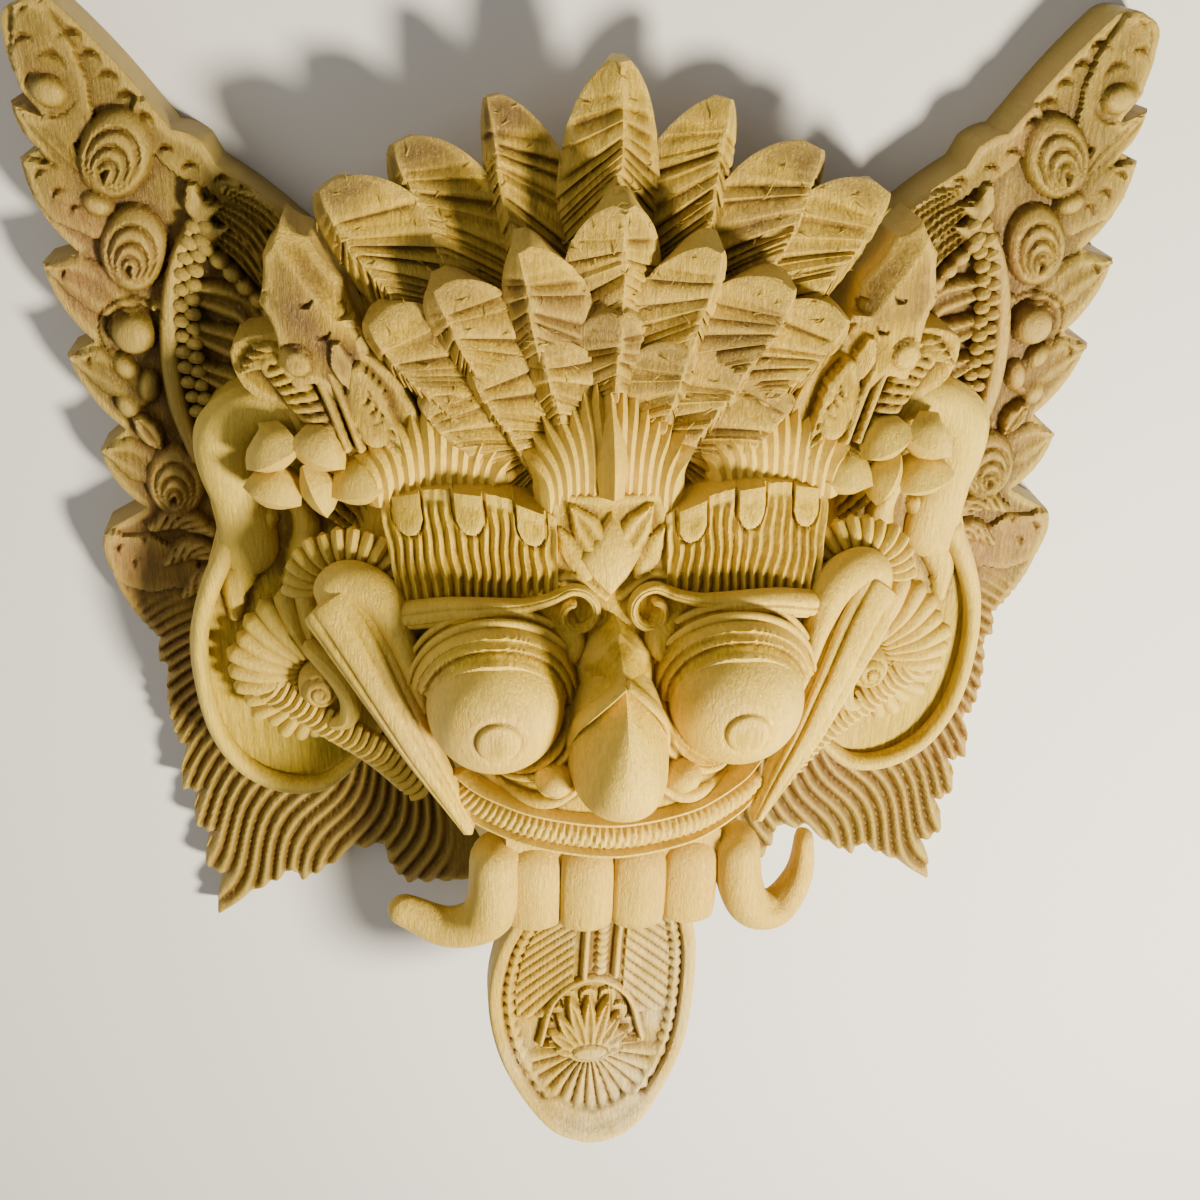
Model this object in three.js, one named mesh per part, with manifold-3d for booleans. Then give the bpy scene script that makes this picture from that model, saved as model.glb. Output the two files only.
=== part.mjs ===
// A carved wooden demon mask, lying on its back with the face up.
// Millimetres. +X is the viewer's right, +Y runs from the tongue to the crown, +Z comes out of the face.
// Sizes below are taken from a point in the flat back plane, on the middle line of the face, between the pupils
// and the nose. The finished mesh is moved so that the origin is the middle of the back.
import * as THREE from 'three';
import { mergeVertices } from 'three/addons/utils/BufferGeometryUtils.js';
import Module from 'manifold-3d';

const wasm = await Module();
wasm.setup();

// Head: the block that carries everything, as stations along Y: [y, depth, half width]
const HEAD = [
  [-122, 26, 46], [-100, 60, 54], [-80, 102, 58], [-60, 116, 62], [-35, 124, 68],
  [-10, 120, 78], [15, 112, 90], [40, 96, 104], [65, 80, 109], [90, 66, 112],
  [120, 54, 112], [148, 43, 98], [175, 30, 72], [190, 16, 44],
];
// Muzzle: the raised middle of the face from the brow to the upper lip, as stations [y, depth, half width]
const MUZZLE = [
  [-44, 118, 46], [-32, 131, 56], [-15, 132, 62], [2, 128, 68], [22, 119, 76], [42, 103, 80], [54, 86, 78],
];
const HEAD_SQUARENESS = 3.2;
const HOLLOW = { centreY: 22, halfWidth: 78, halfHeight: 85, depth: 84 };

// Wing boards: outline of the right one, from the top tip down the jagged edge, then back along the inside.
// Each row is [x, y, bulge], where bulge is how far the edge to the next point swells outwards.
const WING = [
  [194, 254, 2], [206, 254, 3], [213, 243, 3], [203, 215, 0], [214, 220, 2],
  [207, 203, 0], [214, 200, 4], [198, 165, 0], [212, 161, 3], [197, 130, 0],
  [208, 125, 3], [190, 93, 0], [201, 84, 3], [186, 58, 0], [204, 48, 1],
  [204, 32, 3], [188, -5, 0], [190, -14, 1], [186, -19, 2], [187, -56, 1],
  [182, -63, 2], [187, -86, 0], [179, -88, 3], [182, -109, 0], [175, -112, 3],
  [180, -133, 0], [172, -137, 2], [178, -161, 0], [156, -146, 1], [141, -136, 0],
  [137, -143, 2], [112, -124, 1], [96, -123, 3], [86, -147, 1], [53, -146, 0],
  [36, -110, 0], [36, 60, 0], [60, 130, 0], [116, 177, 1], [143, 198, 0],
  [147, 206, 1], [158, 211, 0], [165, 220, 1],
];
const WING_FRONT = { low: 15, high: 25, lowY: -160, highY: 255 };

// Ears: the smooth outline of the right one, from where it leaves the crown round to the cheek
const EAR = [
  [112, 108], [136, 118], [154, 108], [157, 92], [152, 70], [159, 44], [170, 10], [169, -28],
  [158, -58], [134, -73], [112, -62], [92, -42], [72, 0], [88, 60],
];
const EAR_MIDDLE = [118, 14];
const EAR_STRAP = [[118, 108], [140, 108], [145, 88], [141, 66], [146, 40]];
const EAR_STRAP_RADII = [[5, 9], [8, 9], [12, 9], [13, 9], [9, 9]];
const EAR_FLOOR = { low: 40, high: 56, lowY: -73, highY: 118 };
const EAR_FRONT = { low: 47, high: 60, lowY: -73, highY: 118 };

// Crown: leaves in three rows, on rays from one point of the middle line.
// Each leaf is [angle from that line, reach, tip height].
const CROWN_Y = 60;
const CROWN_ROWS = [
  { leaves: [[0, 180, 56], [12.5, 171, 44], [24.5, 168, 44], [35, 170, 52]], length: 92, width: 36 },
  { leaves: [[0, 135, 80], [13.5, 125, 82], [28, 123, 76], [42, 127, 66]], length: 62, width: 28 },
  { leaves: [[0, 96, 76], [14, 88, 74], [31, 90, 68], [46, 93, 62]], length: 42, width: 24 },
];
const SIDE_LEAF = { base: [78, 112], tip: [122, 170], tipZ: 62, width: 34 };

// Fringe above the forehead: three palmettes of ridges
const PALMETTES = [
  { x: 0, baseY: 84, baseZ: 82, topY: 128, topZ: 67, half: 29, ridges: 8 },
  { x: 66, baseY: 86, baseZ: 72, topY: 118, topZ: 56, half: 25, ridges: 6 },
];

// Forehead hair panels: right one, u runs outwards and v upwards
const PANEL = {
  innerX: 21, outerLowX: 80, outerHighX: 88, lowY: 45.5, highY: 78, lowZ: 96, ribs: 11, rib: 2.6,
};

// Face: the nose and the lip are stations, [y, half width, height] and [x, y, height]
const EYE = { x: 46, y: 18, z: 120, radius: 26, pupil: 8 };
const NOSE = [
  [39, 2, 139], [31, 9, 150], [20, 14, 159], [8, 17, 165], [-4, 18, 165], [-14, 15, 160], [-22, 8, 150],
];
const NOSE_BASE = 116;
const LIP = [[-58, -20, 124], [-32, -35, 133], [0, -41, 138], [32, -35, 133], [58, -20, 124]];
const TOOTH = { width: 21, overlap: 0.4, topY: -50, bottomY: -85, frontZ: 134, backZ: 96, count: 4 };
const TUSK = { left: [-90, -80, 112], right: [81, -52, 112] };

// Tongue: stations [y, front z, half width, middle x]
const TONGUE_STATIONS = [
  [-72, 108, 32, 0], [-97, 107, 39, 0], [-120, 102, 44, -2], [-148, 99, 46, -4],
  [-172, 103, 43, -4], [-192, 110, 35, -4], [-205, 118, 25, -4], [-213, 124, 12, -4],
];
const TONGUE = { thickness: 14, recess: 2.5 };

// Finest detail that the joined block keeps
const FINEST = 0.02;

// Value of a station table at y, on a smooth curve through its rows
function stationAt(table, y, column) {
  const rows = table[0][0] < table.at(-1)[0] ? table : [...table].reverse();
  const clamped = Math.min(Math.max(y, rows[0][0]), rows.at(-1)[0]);
  const i = Math.max(rows.findIndex((row) => row[0] >= clamped), 1);
  const [from, to] = [rows[i - 1], rows[i]];
  const before = rows[Math.max(i - 2, 0)];
  const after = rows[Math.min(i + 1, rows.length - 1)];
  const span = to[0] - from[0];
  const t = (clamped - from[0]) / span;
  const slopeFrom = (to[column] - before[column]) / (to[0] - before[0]) * span;
  const slopeTo = (after[column] - from[column]) / (after[0] - from[0]) * span;
  const [t2, t3] = [t * t, t * t * t];
  return (2 * t3 - 3 * t2 + 1) * from[column] + (t3 - 2 * t2 + t) * slopeFrom
    + (3 * t2 - 2 * t3) * to[column] + (t3 - t2) * slopeTo;
}

// Height of the head block over a point of the back plane
function headHeight(x, y) {
  const half = stationAt(HEAD, y, 2);
  const share = Math.max(0, 1 - Math.abs(x / half) ** HEAD_SQUARENESS);
  return stationAt(HEAD, y, 1) * share ** (1 / HEAD_SQUARENESS);
}

// Height of a tilted front face that rises evenly along Y
function slopedFront(front, y) {
  return front.low + (front.high - front.low) * (y - front.lowY) / (front.highY - front.lowY);
}

// A closed solid through rings of points. Its ends are fans, or triangulated outlines where flatEnds is set.
function loft(rings, flatEnds = false) {
  const count = rings[0].length;
  const points = rings.flat();
  const triangles = [];
  for (let r = 0; r + 1 < rings.length; r++) {
    for (let i = 0; i < count; i++) {
      const [a, b] = [r * count + i, r * count + (i + 1) % count];
      triangles.push(a, b, a + count, b, b + count, a + count);
    }
  }
  const fan = Array.from({ length: count - 2 }, (_, i) => [0, i + 1, i + 2]);
  for (const r of [0, rings.length - 1]) {
    const flat = rings[r].map(({ x, y }) => new THREE.Vector2(x, y));
    const faces = flatEnds ? THREE.ShapeUtils.triangulateShape(flat, []) : fan;
    const anticlockwise = !flatEnds || !THREE.ShapeUtils.isClockWise(rings[r]);
    for (const [a, b, c] of faces) {
      const start = r * count;
      if ((r === 0) === anticlockwise) triangles.push(start + a, start + c, start + b);
      else triangles.push(start + a, start + b, start + c);
    }
  }
  const geometry = new THREE.BufferGeometry();
  geometry.setAttribute('position', new THREE.Float32BufferAttribute(points.flatMap((p) => p.toArray()), 3));
  geometry.setIndex(triangles);
  return geometry;
}

// Triangles of a geometry with its near vertices joined, without those that have collapsed
function weld(geometry, nearness) {
  const bare = geometry.clone();
  bare.deleteAttribute('normal');
  bare.deleteAttribute('uv');
  const welded = mergeVertices(bare, nearness);
  const corners = welded.getIndex().array;
  const kept = [];
  for (let i = 0; i < corners.length; i += 3) {
    const [a, b, c] = corners.slice(i, i + 3);
    if (a !== b && b !== c && a !== c) kept.push(a, b, c);
  }
  welded.setIndex(kept);
  return welded;
}

// Solid of a closed geometry, turned the right way out
function solid(geometry) {
  const closed = weld(geometry, 1e-3);
  const at = closed.getAttribute('position');
  const corners = [...closed.getIndex().array];
  const [p, q, r] = [0, 1, 2].map(() => new THREE.Vector3());
  let volume = 0;
  for (let i = 0; i < corners.length; i += 3) {
    [p, q, r].forEach((vertex, k) => vertex.fromBufferAttribute(at, corners[i + k]));
    volume += p.dot(q.cross(r));
  }
  if (volume < 0) corners.reverse();
  return new wasm.Manifold(new wasm.Mesh({
    numProp: 3,
    vertProperties: new Float32Array(at.array),
    triVerts: new Uint32Array(corners),
    tolerance: FINEST,
  }));
}

// Tapered, flattened rod along a smooth curve: radii are [across, out of the face] at even steps
function rod(points, radii, steps, sides = 6) {
  const curve = new THREE.CatmullRomCurve3(points.map((p) => new THREE.Vector3(...p)));
  const rings = [];
  for (let s = 0; s <= steps; s++) {
    const t = s / steps;
    const along = curve.getTangentAt(t);
    const out = new THREE.Vector3(0, 0, 1).addScaledVector(along, -along.z).normalize();
    const across = new THREE.Vector3().crossVectors(along, out);
    const place = t * (radii.length - 1);
    const i = Math.min(Math.floor(place), radii.length - 2);
    const [wide, high] = [0, 1].map((k) => radii[i][k] + (radii[i + 1][k] - radii[i][k]) * (place - i));
    rings.push(Array.from({ length: sides }, (_, k) => {
      const turn = (k / sides + 0.25) * 2 * Math.PI;
      const point = curve.getPointAt(t).addScaledVector(across, wide * Math.cos(turn));
      return point.addScaledVector(out, high * Math.sin(turn));
    }));
  }
  return loft(rings);
}

// Keeled leaf from base to tip: two facets meet in a ridge, and the back runs down into the block
function leaf({ base, tip, width, ridge = 0, keel = 6, back = 18, steps = 3 }) {
  const [from, to] = [new THREE.Vector3(...base), new THREE.Vector3(...tip)];
  const along = to.clone().sub(from).normalize();
  const front = new THREE.Vector3(0, -0.3, 1);
  front.addScaledVector(along, -front.dot(along)).normalize();
  const side = new THREE.Vector3().crossVectors(along, front);
  const rings = [];
  for (let s = 0; s <= steps; s++) {
    const t = 1 - (1 - s / steps) ** 2;
    const taper = (0.75 + 0.25 * Math.min(t / 0.6, 1)) * (1 - (0.97 * t) ** 5) ** 0.6;
    const half = width / 2 * taper;
    const middle = from.clone().lerp(to, t);
    const corner = (x, z) => middle.clone().addScaledVector(side, x).addScaledVector(front, z);
    rings.push([
      corner(-half, -3 * taper), corner(ridge * half, keel * taper - 1), corner(half, -3 * taper),
      corner(0, -back * (1 - 0.6 * t)),
    ]);
  }
  return loft(rings);
}

// Ribbed patch between an inner and an outer edge, each a function of u from 0 to 1. The ridges stand up by
// rise. Between two ridges the outer edge is drawn in by notch, a share of the way back to the inner edge.
function ribbed({ ridges, inner, outer, rise, back, notch = 0.12 }) {
  return loft(Array.from({ length: ridges * 2 + 1 }, (_, i) => {
    const u = i / (ridges * 2);
    const lift = i % 2 ? rise : 0;
    const [from, to] = [inner(u), outer(u)];
    if (i % 2 === 0) to.lerp(from, notch);
    const point = (v, z) => from.clone().lerp(to, v).add(new THREE.Vector3(0, 0, z));
    const crest = [point(0, lift * 0.7), point(0.6, lift + 1), point(1, lift * 0.5 - 1)];
    return [point(0, -back), ...crest, point(1, -back)];
  }));
}

// Point on an arc around a centre, at an angle in degrees, mirrored by side
function onArc(side, [x, y, z], radius, degrees) {
  const turn = degrees * Math.PI / 180;
  return new THREE.Vector3(side * (x + radius * Math.cos(turn)), y + radius * Math.sin(turn), z);
}

// A block that lies flat, with a rounded front through stations [y, depth, half width]
function domed(stations) {
  const across = 12;
  return loft(stations.map(([y, depth, half]) => Array.from({ length: across + 1 }, (_, i) => {
    const turn = Math.PI * (i / across - 0.5);
    const x = half * Math.sign(turn) * Math.abs(Math.sin(turn)) ** (2 / HEAD_SQUARENESS);
    const z = i % across === 0 ? 0 : depth * Math.cos(turn) ** (2 / HEAD_SQUARENESS);
    return new THREE.Vector3(x, y, z);
  })));
}

// The hollow behind the face
function hollow() {
  const bowl = new THREE.SphereGeometry(1, 14, 8);
  bowl.scale(HOLLOW.halfWidth, HOLLOW.halfHeight, HOLLOW.depth);
  bowl.translate(0, HOLLOW.centreY, 0);
  return bowl;
}

// Flat outline from rows of [x, y, bulge], each swelling edge drawn as a curve
function outline(rows, side) {
  const shape = new THREE.Shape();
  shape.moveTo(side * rows[0][0], rows[0][1]);
  rows.forEach(([x, y, bulge], i) => {
    const [toX, toY] = rows[(i + 1) % rows.length];
    const length = Math.hypot(toX - x, toY - y);
    const [outX, outY] = [-(toY - y) / length, (toX - x) / length];
    const [swollenX, swollenY] = [(x + toX) / 2 + 2 * bulge * outX, (y + toY) / 2 + 2 * bulge * outY];
    if (bulge === 0) shape.lineTo(side * toX, toY);
    else shape.quadraticCurveTo(side * swollenX, swollenY, side * toX, toY);
  });
  return shape;
}

// Board of a given outline, from a flat level up to a sloped front
function board(shape, bottom, front, curveSegments = 2) {
  const geometry = new THREE.ExtrudeGeometry(shape, { depth: 1, bevelEnabled: false, curveSegments, steps: 1 });
  const at = geometry.getAttribute('position');
  for (let i = 0; i < at.count; i++) {
    at.setZ(i, at.getZ(i) > 0.5 ? slopedFront(front, at.getY(i)) : bottom);
  }
  return geometry;
}

// Ear: a dished plate inside a raised rim, and the broad rounded strap of its upper curve
function ear(side) {
  const curve = new THREE.SplineCurve(EAR.map(([x, y]) => new THREE.Vector2(side * x, y)));
  const edge = curve.getPoints(20);
  const middle = new THREE.Vector2(side * EAR_MIDDLE[0], EAR_MIDDLE[1]);
  const level = (share, height) => edge.map((point) => {
    const { x, y } = point.clone().lerp(middle, share);
    return new THREE.Vector3(x, y, height(y));
  });
  const front = (y) => slopedFront(EAR_FRONT, y);
  const floor = (y) => slopedFront(EAR_FLOOR, y);
  const plate = loft([
    level(0, () => 5), level(0, (y) => front(y) - 6), level(0.07, front), level(0.2, front), level(0.27, floor),
  ], true);
  const strap = EAR_STRAP.map(([x, y]) => [side * x, y, front(y) - 8]);
  return [plate, rod(strap, EAR_STRAP_RADII, 6, 6)];
}

// Earring in the ear's lobe: a round boss in a fan of ridges
function earring(side) {
  const centre = [116, -4, 50];
  const boss = new THREE.SphereGeometry(11, 8, 4);
  boss.rotateX(Math.PI / 2);
  boss.translate(side * centre[0], centre[1], centre[2] + 3);
  const fan = ribbed({
    ridges: 8, rise: 4, back: 10,
    inner: (u) => onArc(side, centre, 6, 112 - 200 * u),
    outer: (u) => onArc(side, centre, 43 - 10 * u, 112 - 200 * u),
  });
  return [boss, fan];
}

// The crown's leaves on one side, or the middle column for side 0
function crownLeaves(side) {
  const parts = [];
  for (const row of CROWN_ROWS) {
    row.leaves.forEach(([degrees, reach, tipZ], i) => {
      if ((i === 0) !== (side === 0)) return;
      const turn = degrees * Math.PI / 180;
      const at = (radius, z) => [side * radius * Math.sin(turn), CROWN_Y + radius * Math.cos(turn), z];
      const [x, y] = at(reach - row.length, 0);
      parts.push(leaf({
        base: at(reach - row.length, headHeight(x, y) - 2), tip: at(reach, tipZ),
        width: row.width, ridge: side * 0.5, keel: 7, back: tipZ * 0.4,
      }));
    });
  }
  if (side !== 0) {
    const [bx, by] = SIDE_LEAF.base;
    const [tx, ty] = SIDE_LEAF.tip;
    parts.push(leaf({
      base: [side * bx, by, headHeight(bx, by)], tip: [side * tx, ty, SIDE_LEAF.tipZ],
      width: SIDE_LEAF.width, ridge: side * -0.5, keel: 4, back: 42,
    }));
  }
  return parts;
}

// Palmettes of the fringe: ridges that spread and shorten from the middle outwards
function palmette({ x, baseY, baseZ, topY, topZ, half, ridges }, side) {
  const fallAcross = x === 0 ? 0 : -6 * side;
  return ribbed({
    ridges, rise: 4, back: 16, notch: 0.2,
    inner: (u) => {
      const across = 2 * u - 1;
      return new THREE.Vector3(side * x + across * half * 0.9, baseY - 4, baseZ + fallAcross * across);
    },
    outer: (u) => {
      const across = 2 * u - 1;
      const fall = across * across;
      const y = topY - (topY - baseY) * 0.5 * fall;
      return new THREE.Vector3(side * x + across * half * 1.05, y, topZ - 3 * fall);
    },
  });
}

// A hair panel: a curved patch of ribs
function panel(side) {
  const { innerX, outerLowX, outerHighX, lowY, highY, lowZ } = PANEL;
  return ribbed({
    ridges: PANEL.ribs, rise: PANEL.rib, back: 22, notch: 0,
    inner: (u) => new THREE.Vector3(side * (innerX + u * (outerLowX - innerX)), lowY, lowZ - 2 * u),
    outer: (u) => new THREE.Vector3(
      side * (innerX + u * (outerHighX - innerX)), highY + 37 * u - 34 * u * u, lowZ - 10 - 16 * u * u),
  });
}

// Brow roll ending in a scroll, lid ridges, eyeball with its raised pupil, strap and cheek band
function eyeArea(side) {
  const brow = [[86, 38, 88], [68, 43, 94], [48, 44, 98], [28, 41, 101], [20, 37, 102]];
  const strap = [[108, 50, 84], [94, 60, 86], [80, 48, 96], [75, 24, 104]];
  const band = [[104, 44, 88], [94, 30, 96], [79, 2, 108], [65, -20, 116], [56, -36, 122]];
  const scroll = Array.from({ length: 7 }, (_, i) => {
    const turn = -Math.PI / 2 - 0.2 - i * 0.72;
    const reach = 9 - i * 0.75;
    return [side * (15 - reach * Math.cos(turn) * 0.9), 45 + reach * Math.sin(turn), 102];
  });
  const ball = new THREE.SphereGeometry(EYE.radius, 12, 8);
  ball.rotateX(Math.PI / 2);
  ball.translate(side * EYE.x, EYE.y, EYE.z);
  const pupil = new THREE.CylinderGeometry(EYE.pupil, EYE.pupil, 3, 10);
  pupil.rotateX(Math.PI / 2);
  pupil.translate(side * EYE.x, EYE.y - 1, EYE.z + EYE.radius - 1);
  const lid = (radius, z, from, to, thick, steps) => rod(
    Array.from({ length: steps + 1 }, (_, i) => {
      const turn = 180 - (from + (to - from) * i / steps);
      const point = onArc(side, [EYE.x, EYE.y, z], radius, turn);
      return [point.x, point.y, z - 6 * Math.abs(Math.cos(turn * Math.PI / 180))];
    }), [[thick, 7], [thick, 7]], steps, 4);
  const mirrored = (rows) => rows.map(([x, y, z]) => [side * x, y, z]);
  return [
    rod(mirrored(brow), [[3, 6], [5.5, 8], [5, 8], [4, 6]], 4, 5),
    rod(scroll, [[3.5, 5], [2.5, 5]], 7, 4),
    ball, pupil,
    lid(25, 132, -5, 185, 2.6, 6), lid(33, 117, 8, 168, 4, 5),
    rod(mirrored(strap), [[10, 10], [8, 9], [3, 6]], 3, 4),
    rod(mirrored(band), [[16, 9], [12, 11], [9, 11], [6, 9], [3.5, 6]], 5, 6),
  ];
}

// Nose: gabled bridge, keeled ball and two nostril wings
function nose() {
  const stations = [[48, 13, 112, 104], [40, 14, 132, 108], [30, 15, 144, 110], [12, 15, 146, 110]];
  const bridge = stations.map(([y, half, top, foot]) => (
    [[-half, foot], [0, top], [half, foot], [0, foot - 8]].map(([x, z]) => new THREE.Vector3(x, y, z))));
  const ball = NOSE.map(([y, half, top], station) => {
    const squareness = 1.3 + 0.15 * station;
    return Array.from({ length: 9 }, (_, i) => {
      const x = half * Math.sin(Math.PI * (i / 8 - 0.5));
      const share = Math.max(0, 1 - Math.abs(x / half) ** squareness) ** (1 / squareness);
      return new THREE.Vector3(x, y, i % 8 === 0 ? NOSE_BASE : NOSE_BASE + 12 + (top - NOSE_BASE - 12) * share);
    });
  });
  const wings = [-1, 1].map((side) => {
    const wing = new THREE.SphereGeometry(1, 8, 5);
    wing.scale(8, 7, 14);
    wing.translate(side * 24, -10, 130);
    return wing;
  });
  return [loft(bridge), loft(ball), ...wings];
}

// Upper lip, gum, four front teeth and the two curled tusks
function mouth() {
  const parts = [
    rod(LIP, [[5, 9], [7, 12], [5, 9]], 8, 6),
  ];
  const gum = new THREE.BoxGeometry(TOOTH.width * TOOTH.count + 2, 22, 60);
  gum.translate(0, -48, TOOTH.frontZ - 34);
  parts.push(gum);
  for (let i = 0; i < TOOTH.count; i++) {
    const place = i - (TOOTH.count - 1) / 2;
    const front = TOOTH.frontZ - Math.abs(place) * 2;
    const half = TOOTH.width / 2 + TOOTH.overlap;
    const face = [[-half, -0.6], [-half * 0.7, 0.5], [0, 1.5], [half * 0.7, 0.5], [half, -0.6]];
    const at = (x, y, z) => new THREE.Vector3(place * TOOTH.width + x, y, z);
    const ring = (y, pull) => [
      ...face.map(([x, z]) => at(x * (1 - pull * 0.02), y, front + z - pull)),
      at(half, y, TOOTH.backZ), at(-half, y, TOOTH.backZ),
    ];
    const [top, bottom] = [TOOTH.topY, TOOTH.bottomY];
    parts.push(loft([ring(top + 4, 8), ring(top, 1), ring(bottom + 5, 0), ring(bottom, 4)]));
  }
  for (const [side, tip] of [[-1, TUSK.left], [1, TUSK.right]]) {
    const bendY = tip[1] < -70 ? -90 : -86;
    parts.push(rod(
      [[side * 49, -44, 122], [side * 50, -70, 124], [side * 58, bendY, 121], [side * 70, bendY - 1, 117], tip],
      [[10, 14], [10.5, 12], [10, 10], [8.5, 9], [5, 5]], 9, 6));
  }
  return parts;
}

// Tongue: a slab with a raised rim that hangs in front of the jaw and curls forward
function tongue() {
  const thick = TONGUE.thickness;
  return loft(TONGUE_STATIONS.map(([y, z, half, middle], i) => {
    const sunk = i === 0 || i > TONGUE_STATIONS.length - 3 ? 0 : TONGUE.recess;
    const section = [
      [-1, -thick * 0.8], [-1, -2], [-0.93, 0], [-0.8, -sunk], [0.8, -sunk],
      [0.93, 0], [1, -2], [1, -thick * 0.8], [0.6, -thick], [-0.6, -thick],
    ];
    return section.map(([share, lift]) => new THREE.Vector3(middle + share * half, y, z + lift));
  }));
}

// Petals at the temples, and the ridged curls under them
function jewels(side) {
  const petals = [[126, 99], [126, 85], [109, 101], [111, 87]].map(([x, y]) => {
    const petal = new THREE.SphereGeometry(1, 6, 4);
    petal.rotateX(Math.PI / 2);
    petal.scale(10, 7.5, 20);
    petal.translate(side * x, y, 53);
    return petal;
  });
  const curl = [101, 56, 72];
  return [...petals, ribbed({
    ridges: 6, rise: 3, back: 18,
    inner: (u) => onArc(side, curl, 6, 110 - 130 * u),
    outer: (u) => onArc(side, curl, 22, 110 - 130 * u),
  })];
}

// The forehead gem: a squat pyramid
function gem() {
  const stone = new THREE.CylinderGeometry(6, 14, 24, 4);
  stone.rotateX(Math.PI / 2);
  stone.scale(0.95, 1.15, 1);
  stone.translate(0, 69, 88);
  return stone;
}

// Relief on the wings that shows from a step away: bar, bosses and the fluted lower feathers
function wingRelief(side) {
  const bar = [[150, 184, 24], [162, 164, 26], [168, 128, 27], [166, 100, 27], [158, 76, 26]];
  const bosses = [[199, 232, 9], [184, 204, 10], [181, 136, 11], [172, 78, 10]];
  return [
    rod(bar.map(([x, y, z]) => [side * x, y, z]), [[2, 4], [4, 6], [3, 5]], 5, 4),
    ...bosses.map(([x, y, radius]) => {
      const boss = new THREE.SphereGeometry(1, 7, 4);
      boss.rotateX(Math.PI / 2);
      boss.scale(radius, radius * 1.1, 10);
      boss.translate(side * x, y, slopedFront(WING_FRONT, y) - 2);
      return boss;
    }),
    ribbed({
      ridges: 7, rise: 4, back: 12, notch: 0.08,
      inner: (u) => new THREE.Vector3(side * (122 - 40 * u), -70 - 22 * u, 20),
      outer: (u) => new THREE.Vector3(side * (182 - 66 * u), -62 - 74 * Math.sqrt(u), 20),
    }),
  ];
}

// The whole carving, joined into one block of wood
function carving() {
  const wings = [-1, 1].flatMap((side) => [
    board(outline(WING, side), 0, WING_FRONT), ...wingRelief(side), ...ear(side), ...earring(side)]);
  const crown = [0, -1, 1].flatMap((side) => crownLeaves(side));
  const fringe = [palmette(PALMETTES[0], 0), ...[-1, 1].map((side) => palmette(PALMETTES[1], side))];
  const flanks = [-1, 1].flatMap((side) => [panel(side), ...eyeArea(side), ...jewels(side)]);
  const pieces = [...wings, ...crown, ...fringe, ...flanks, gem(), ...nose(), ...mouth(), tongue()];
  let block = solid(domed(HEAD)).add(solid(domed(MUZZLE)));
  for (const piece of pieces) block = block.add(solid(piece));
  const bodies = block.subtract(solid(hollow())).decompose();
  return bodies.reduce((largest, body) => (body.volume() > largest.volume() ? body : largest));
}

// The finished block as a mesh, moved so that the origin is the middle of its flat back
function carvedMesh() {
  const { vertProperties, triVerts } = carving().getMesh();
  const geometry = new THREE.BufferGeometry();
  geometry.setAttribute('position', new THREE.BufferAttribute(vertProperties, 3));
  geometry.setIndex(new THREE.BufferAttribute(triVerts, 1));
  const wood = new THREE.MeshStandardMaterial({ color: 0xd9b66a, roughness: 0.62, metalness: 0 });
  const mesh = new THREE.Mesh(weld(geometry, FINEST), wood);
  mesh.name = 'carved_mask';
  mesh.geometry.computeBoundingBox();
  mesh.position.y = -mesh.geometry.boundingBox.getCenter(new THREE.Vector3()).y;
  return mesh;
}

const group = new THREE.Group();
group.add(carvedMesh());

export default group;
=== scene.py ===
# %% [markdown]
# # A carved demon mask in pale wood
# The mask is one block of wood, cut with gouges and knives. The frame gives its solid at its real size,
# and each step below carves one region of it as a closed mesh in the same place, so that no part has to
# be fitted later.

# %% Load the frame
import math

import bpy
import numpy as np
from mathutils import Matrix, Vector
from mathutils.geometry import delaunay_2d_cdt


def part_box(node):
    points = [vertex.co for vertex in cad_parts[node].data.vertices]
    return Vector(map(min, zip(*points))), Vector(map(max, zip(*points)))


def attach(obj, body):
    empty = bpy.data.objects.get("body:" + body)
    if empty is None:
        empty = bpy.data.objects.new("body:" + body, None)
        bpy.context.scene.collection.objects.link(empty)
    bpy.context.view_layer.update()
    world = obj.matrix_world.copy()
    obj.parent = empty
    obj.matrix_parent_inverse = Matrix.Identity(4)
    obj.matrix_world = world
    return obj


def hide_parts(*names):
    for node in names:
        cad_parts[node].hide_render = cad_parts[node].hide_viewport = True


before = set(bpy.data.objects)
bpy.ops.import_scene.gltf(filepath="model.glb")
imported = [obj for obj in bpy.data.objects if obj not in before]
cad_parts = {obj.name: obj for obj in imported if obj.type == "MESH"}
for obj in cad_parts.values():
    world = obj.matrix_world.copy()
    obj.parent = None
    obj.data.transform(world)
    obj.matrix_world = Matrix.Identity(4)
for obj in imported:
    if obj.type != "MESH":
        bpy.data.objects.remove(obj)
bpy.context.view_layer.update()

BLOCK_LOW, BLOCK_HIGH = (np.array(corner) * 1000 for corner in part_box("carved_mask"))
print("block of wood, mm:", BLOCK_LOW.round(1), BLOCK_HIGH.round(1))

# %% [markdown]
# A carver measures from the middle line of the face. Here too: X runs to the viewer's right, Y from the
# tongue to the crown, Z out of the face, in millimetres, and Y = 0 lies between the pupils and the nose.
# One shift brings these measures into the frame when a piece is finished.

# %% The carver's measures
TONGUE_TIP_Y = -213.0
SHIFT_Y = BLOCK_LOW[1] - TONGUE_TIP_Y
chance = np.random.default_rng(11)

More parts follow.
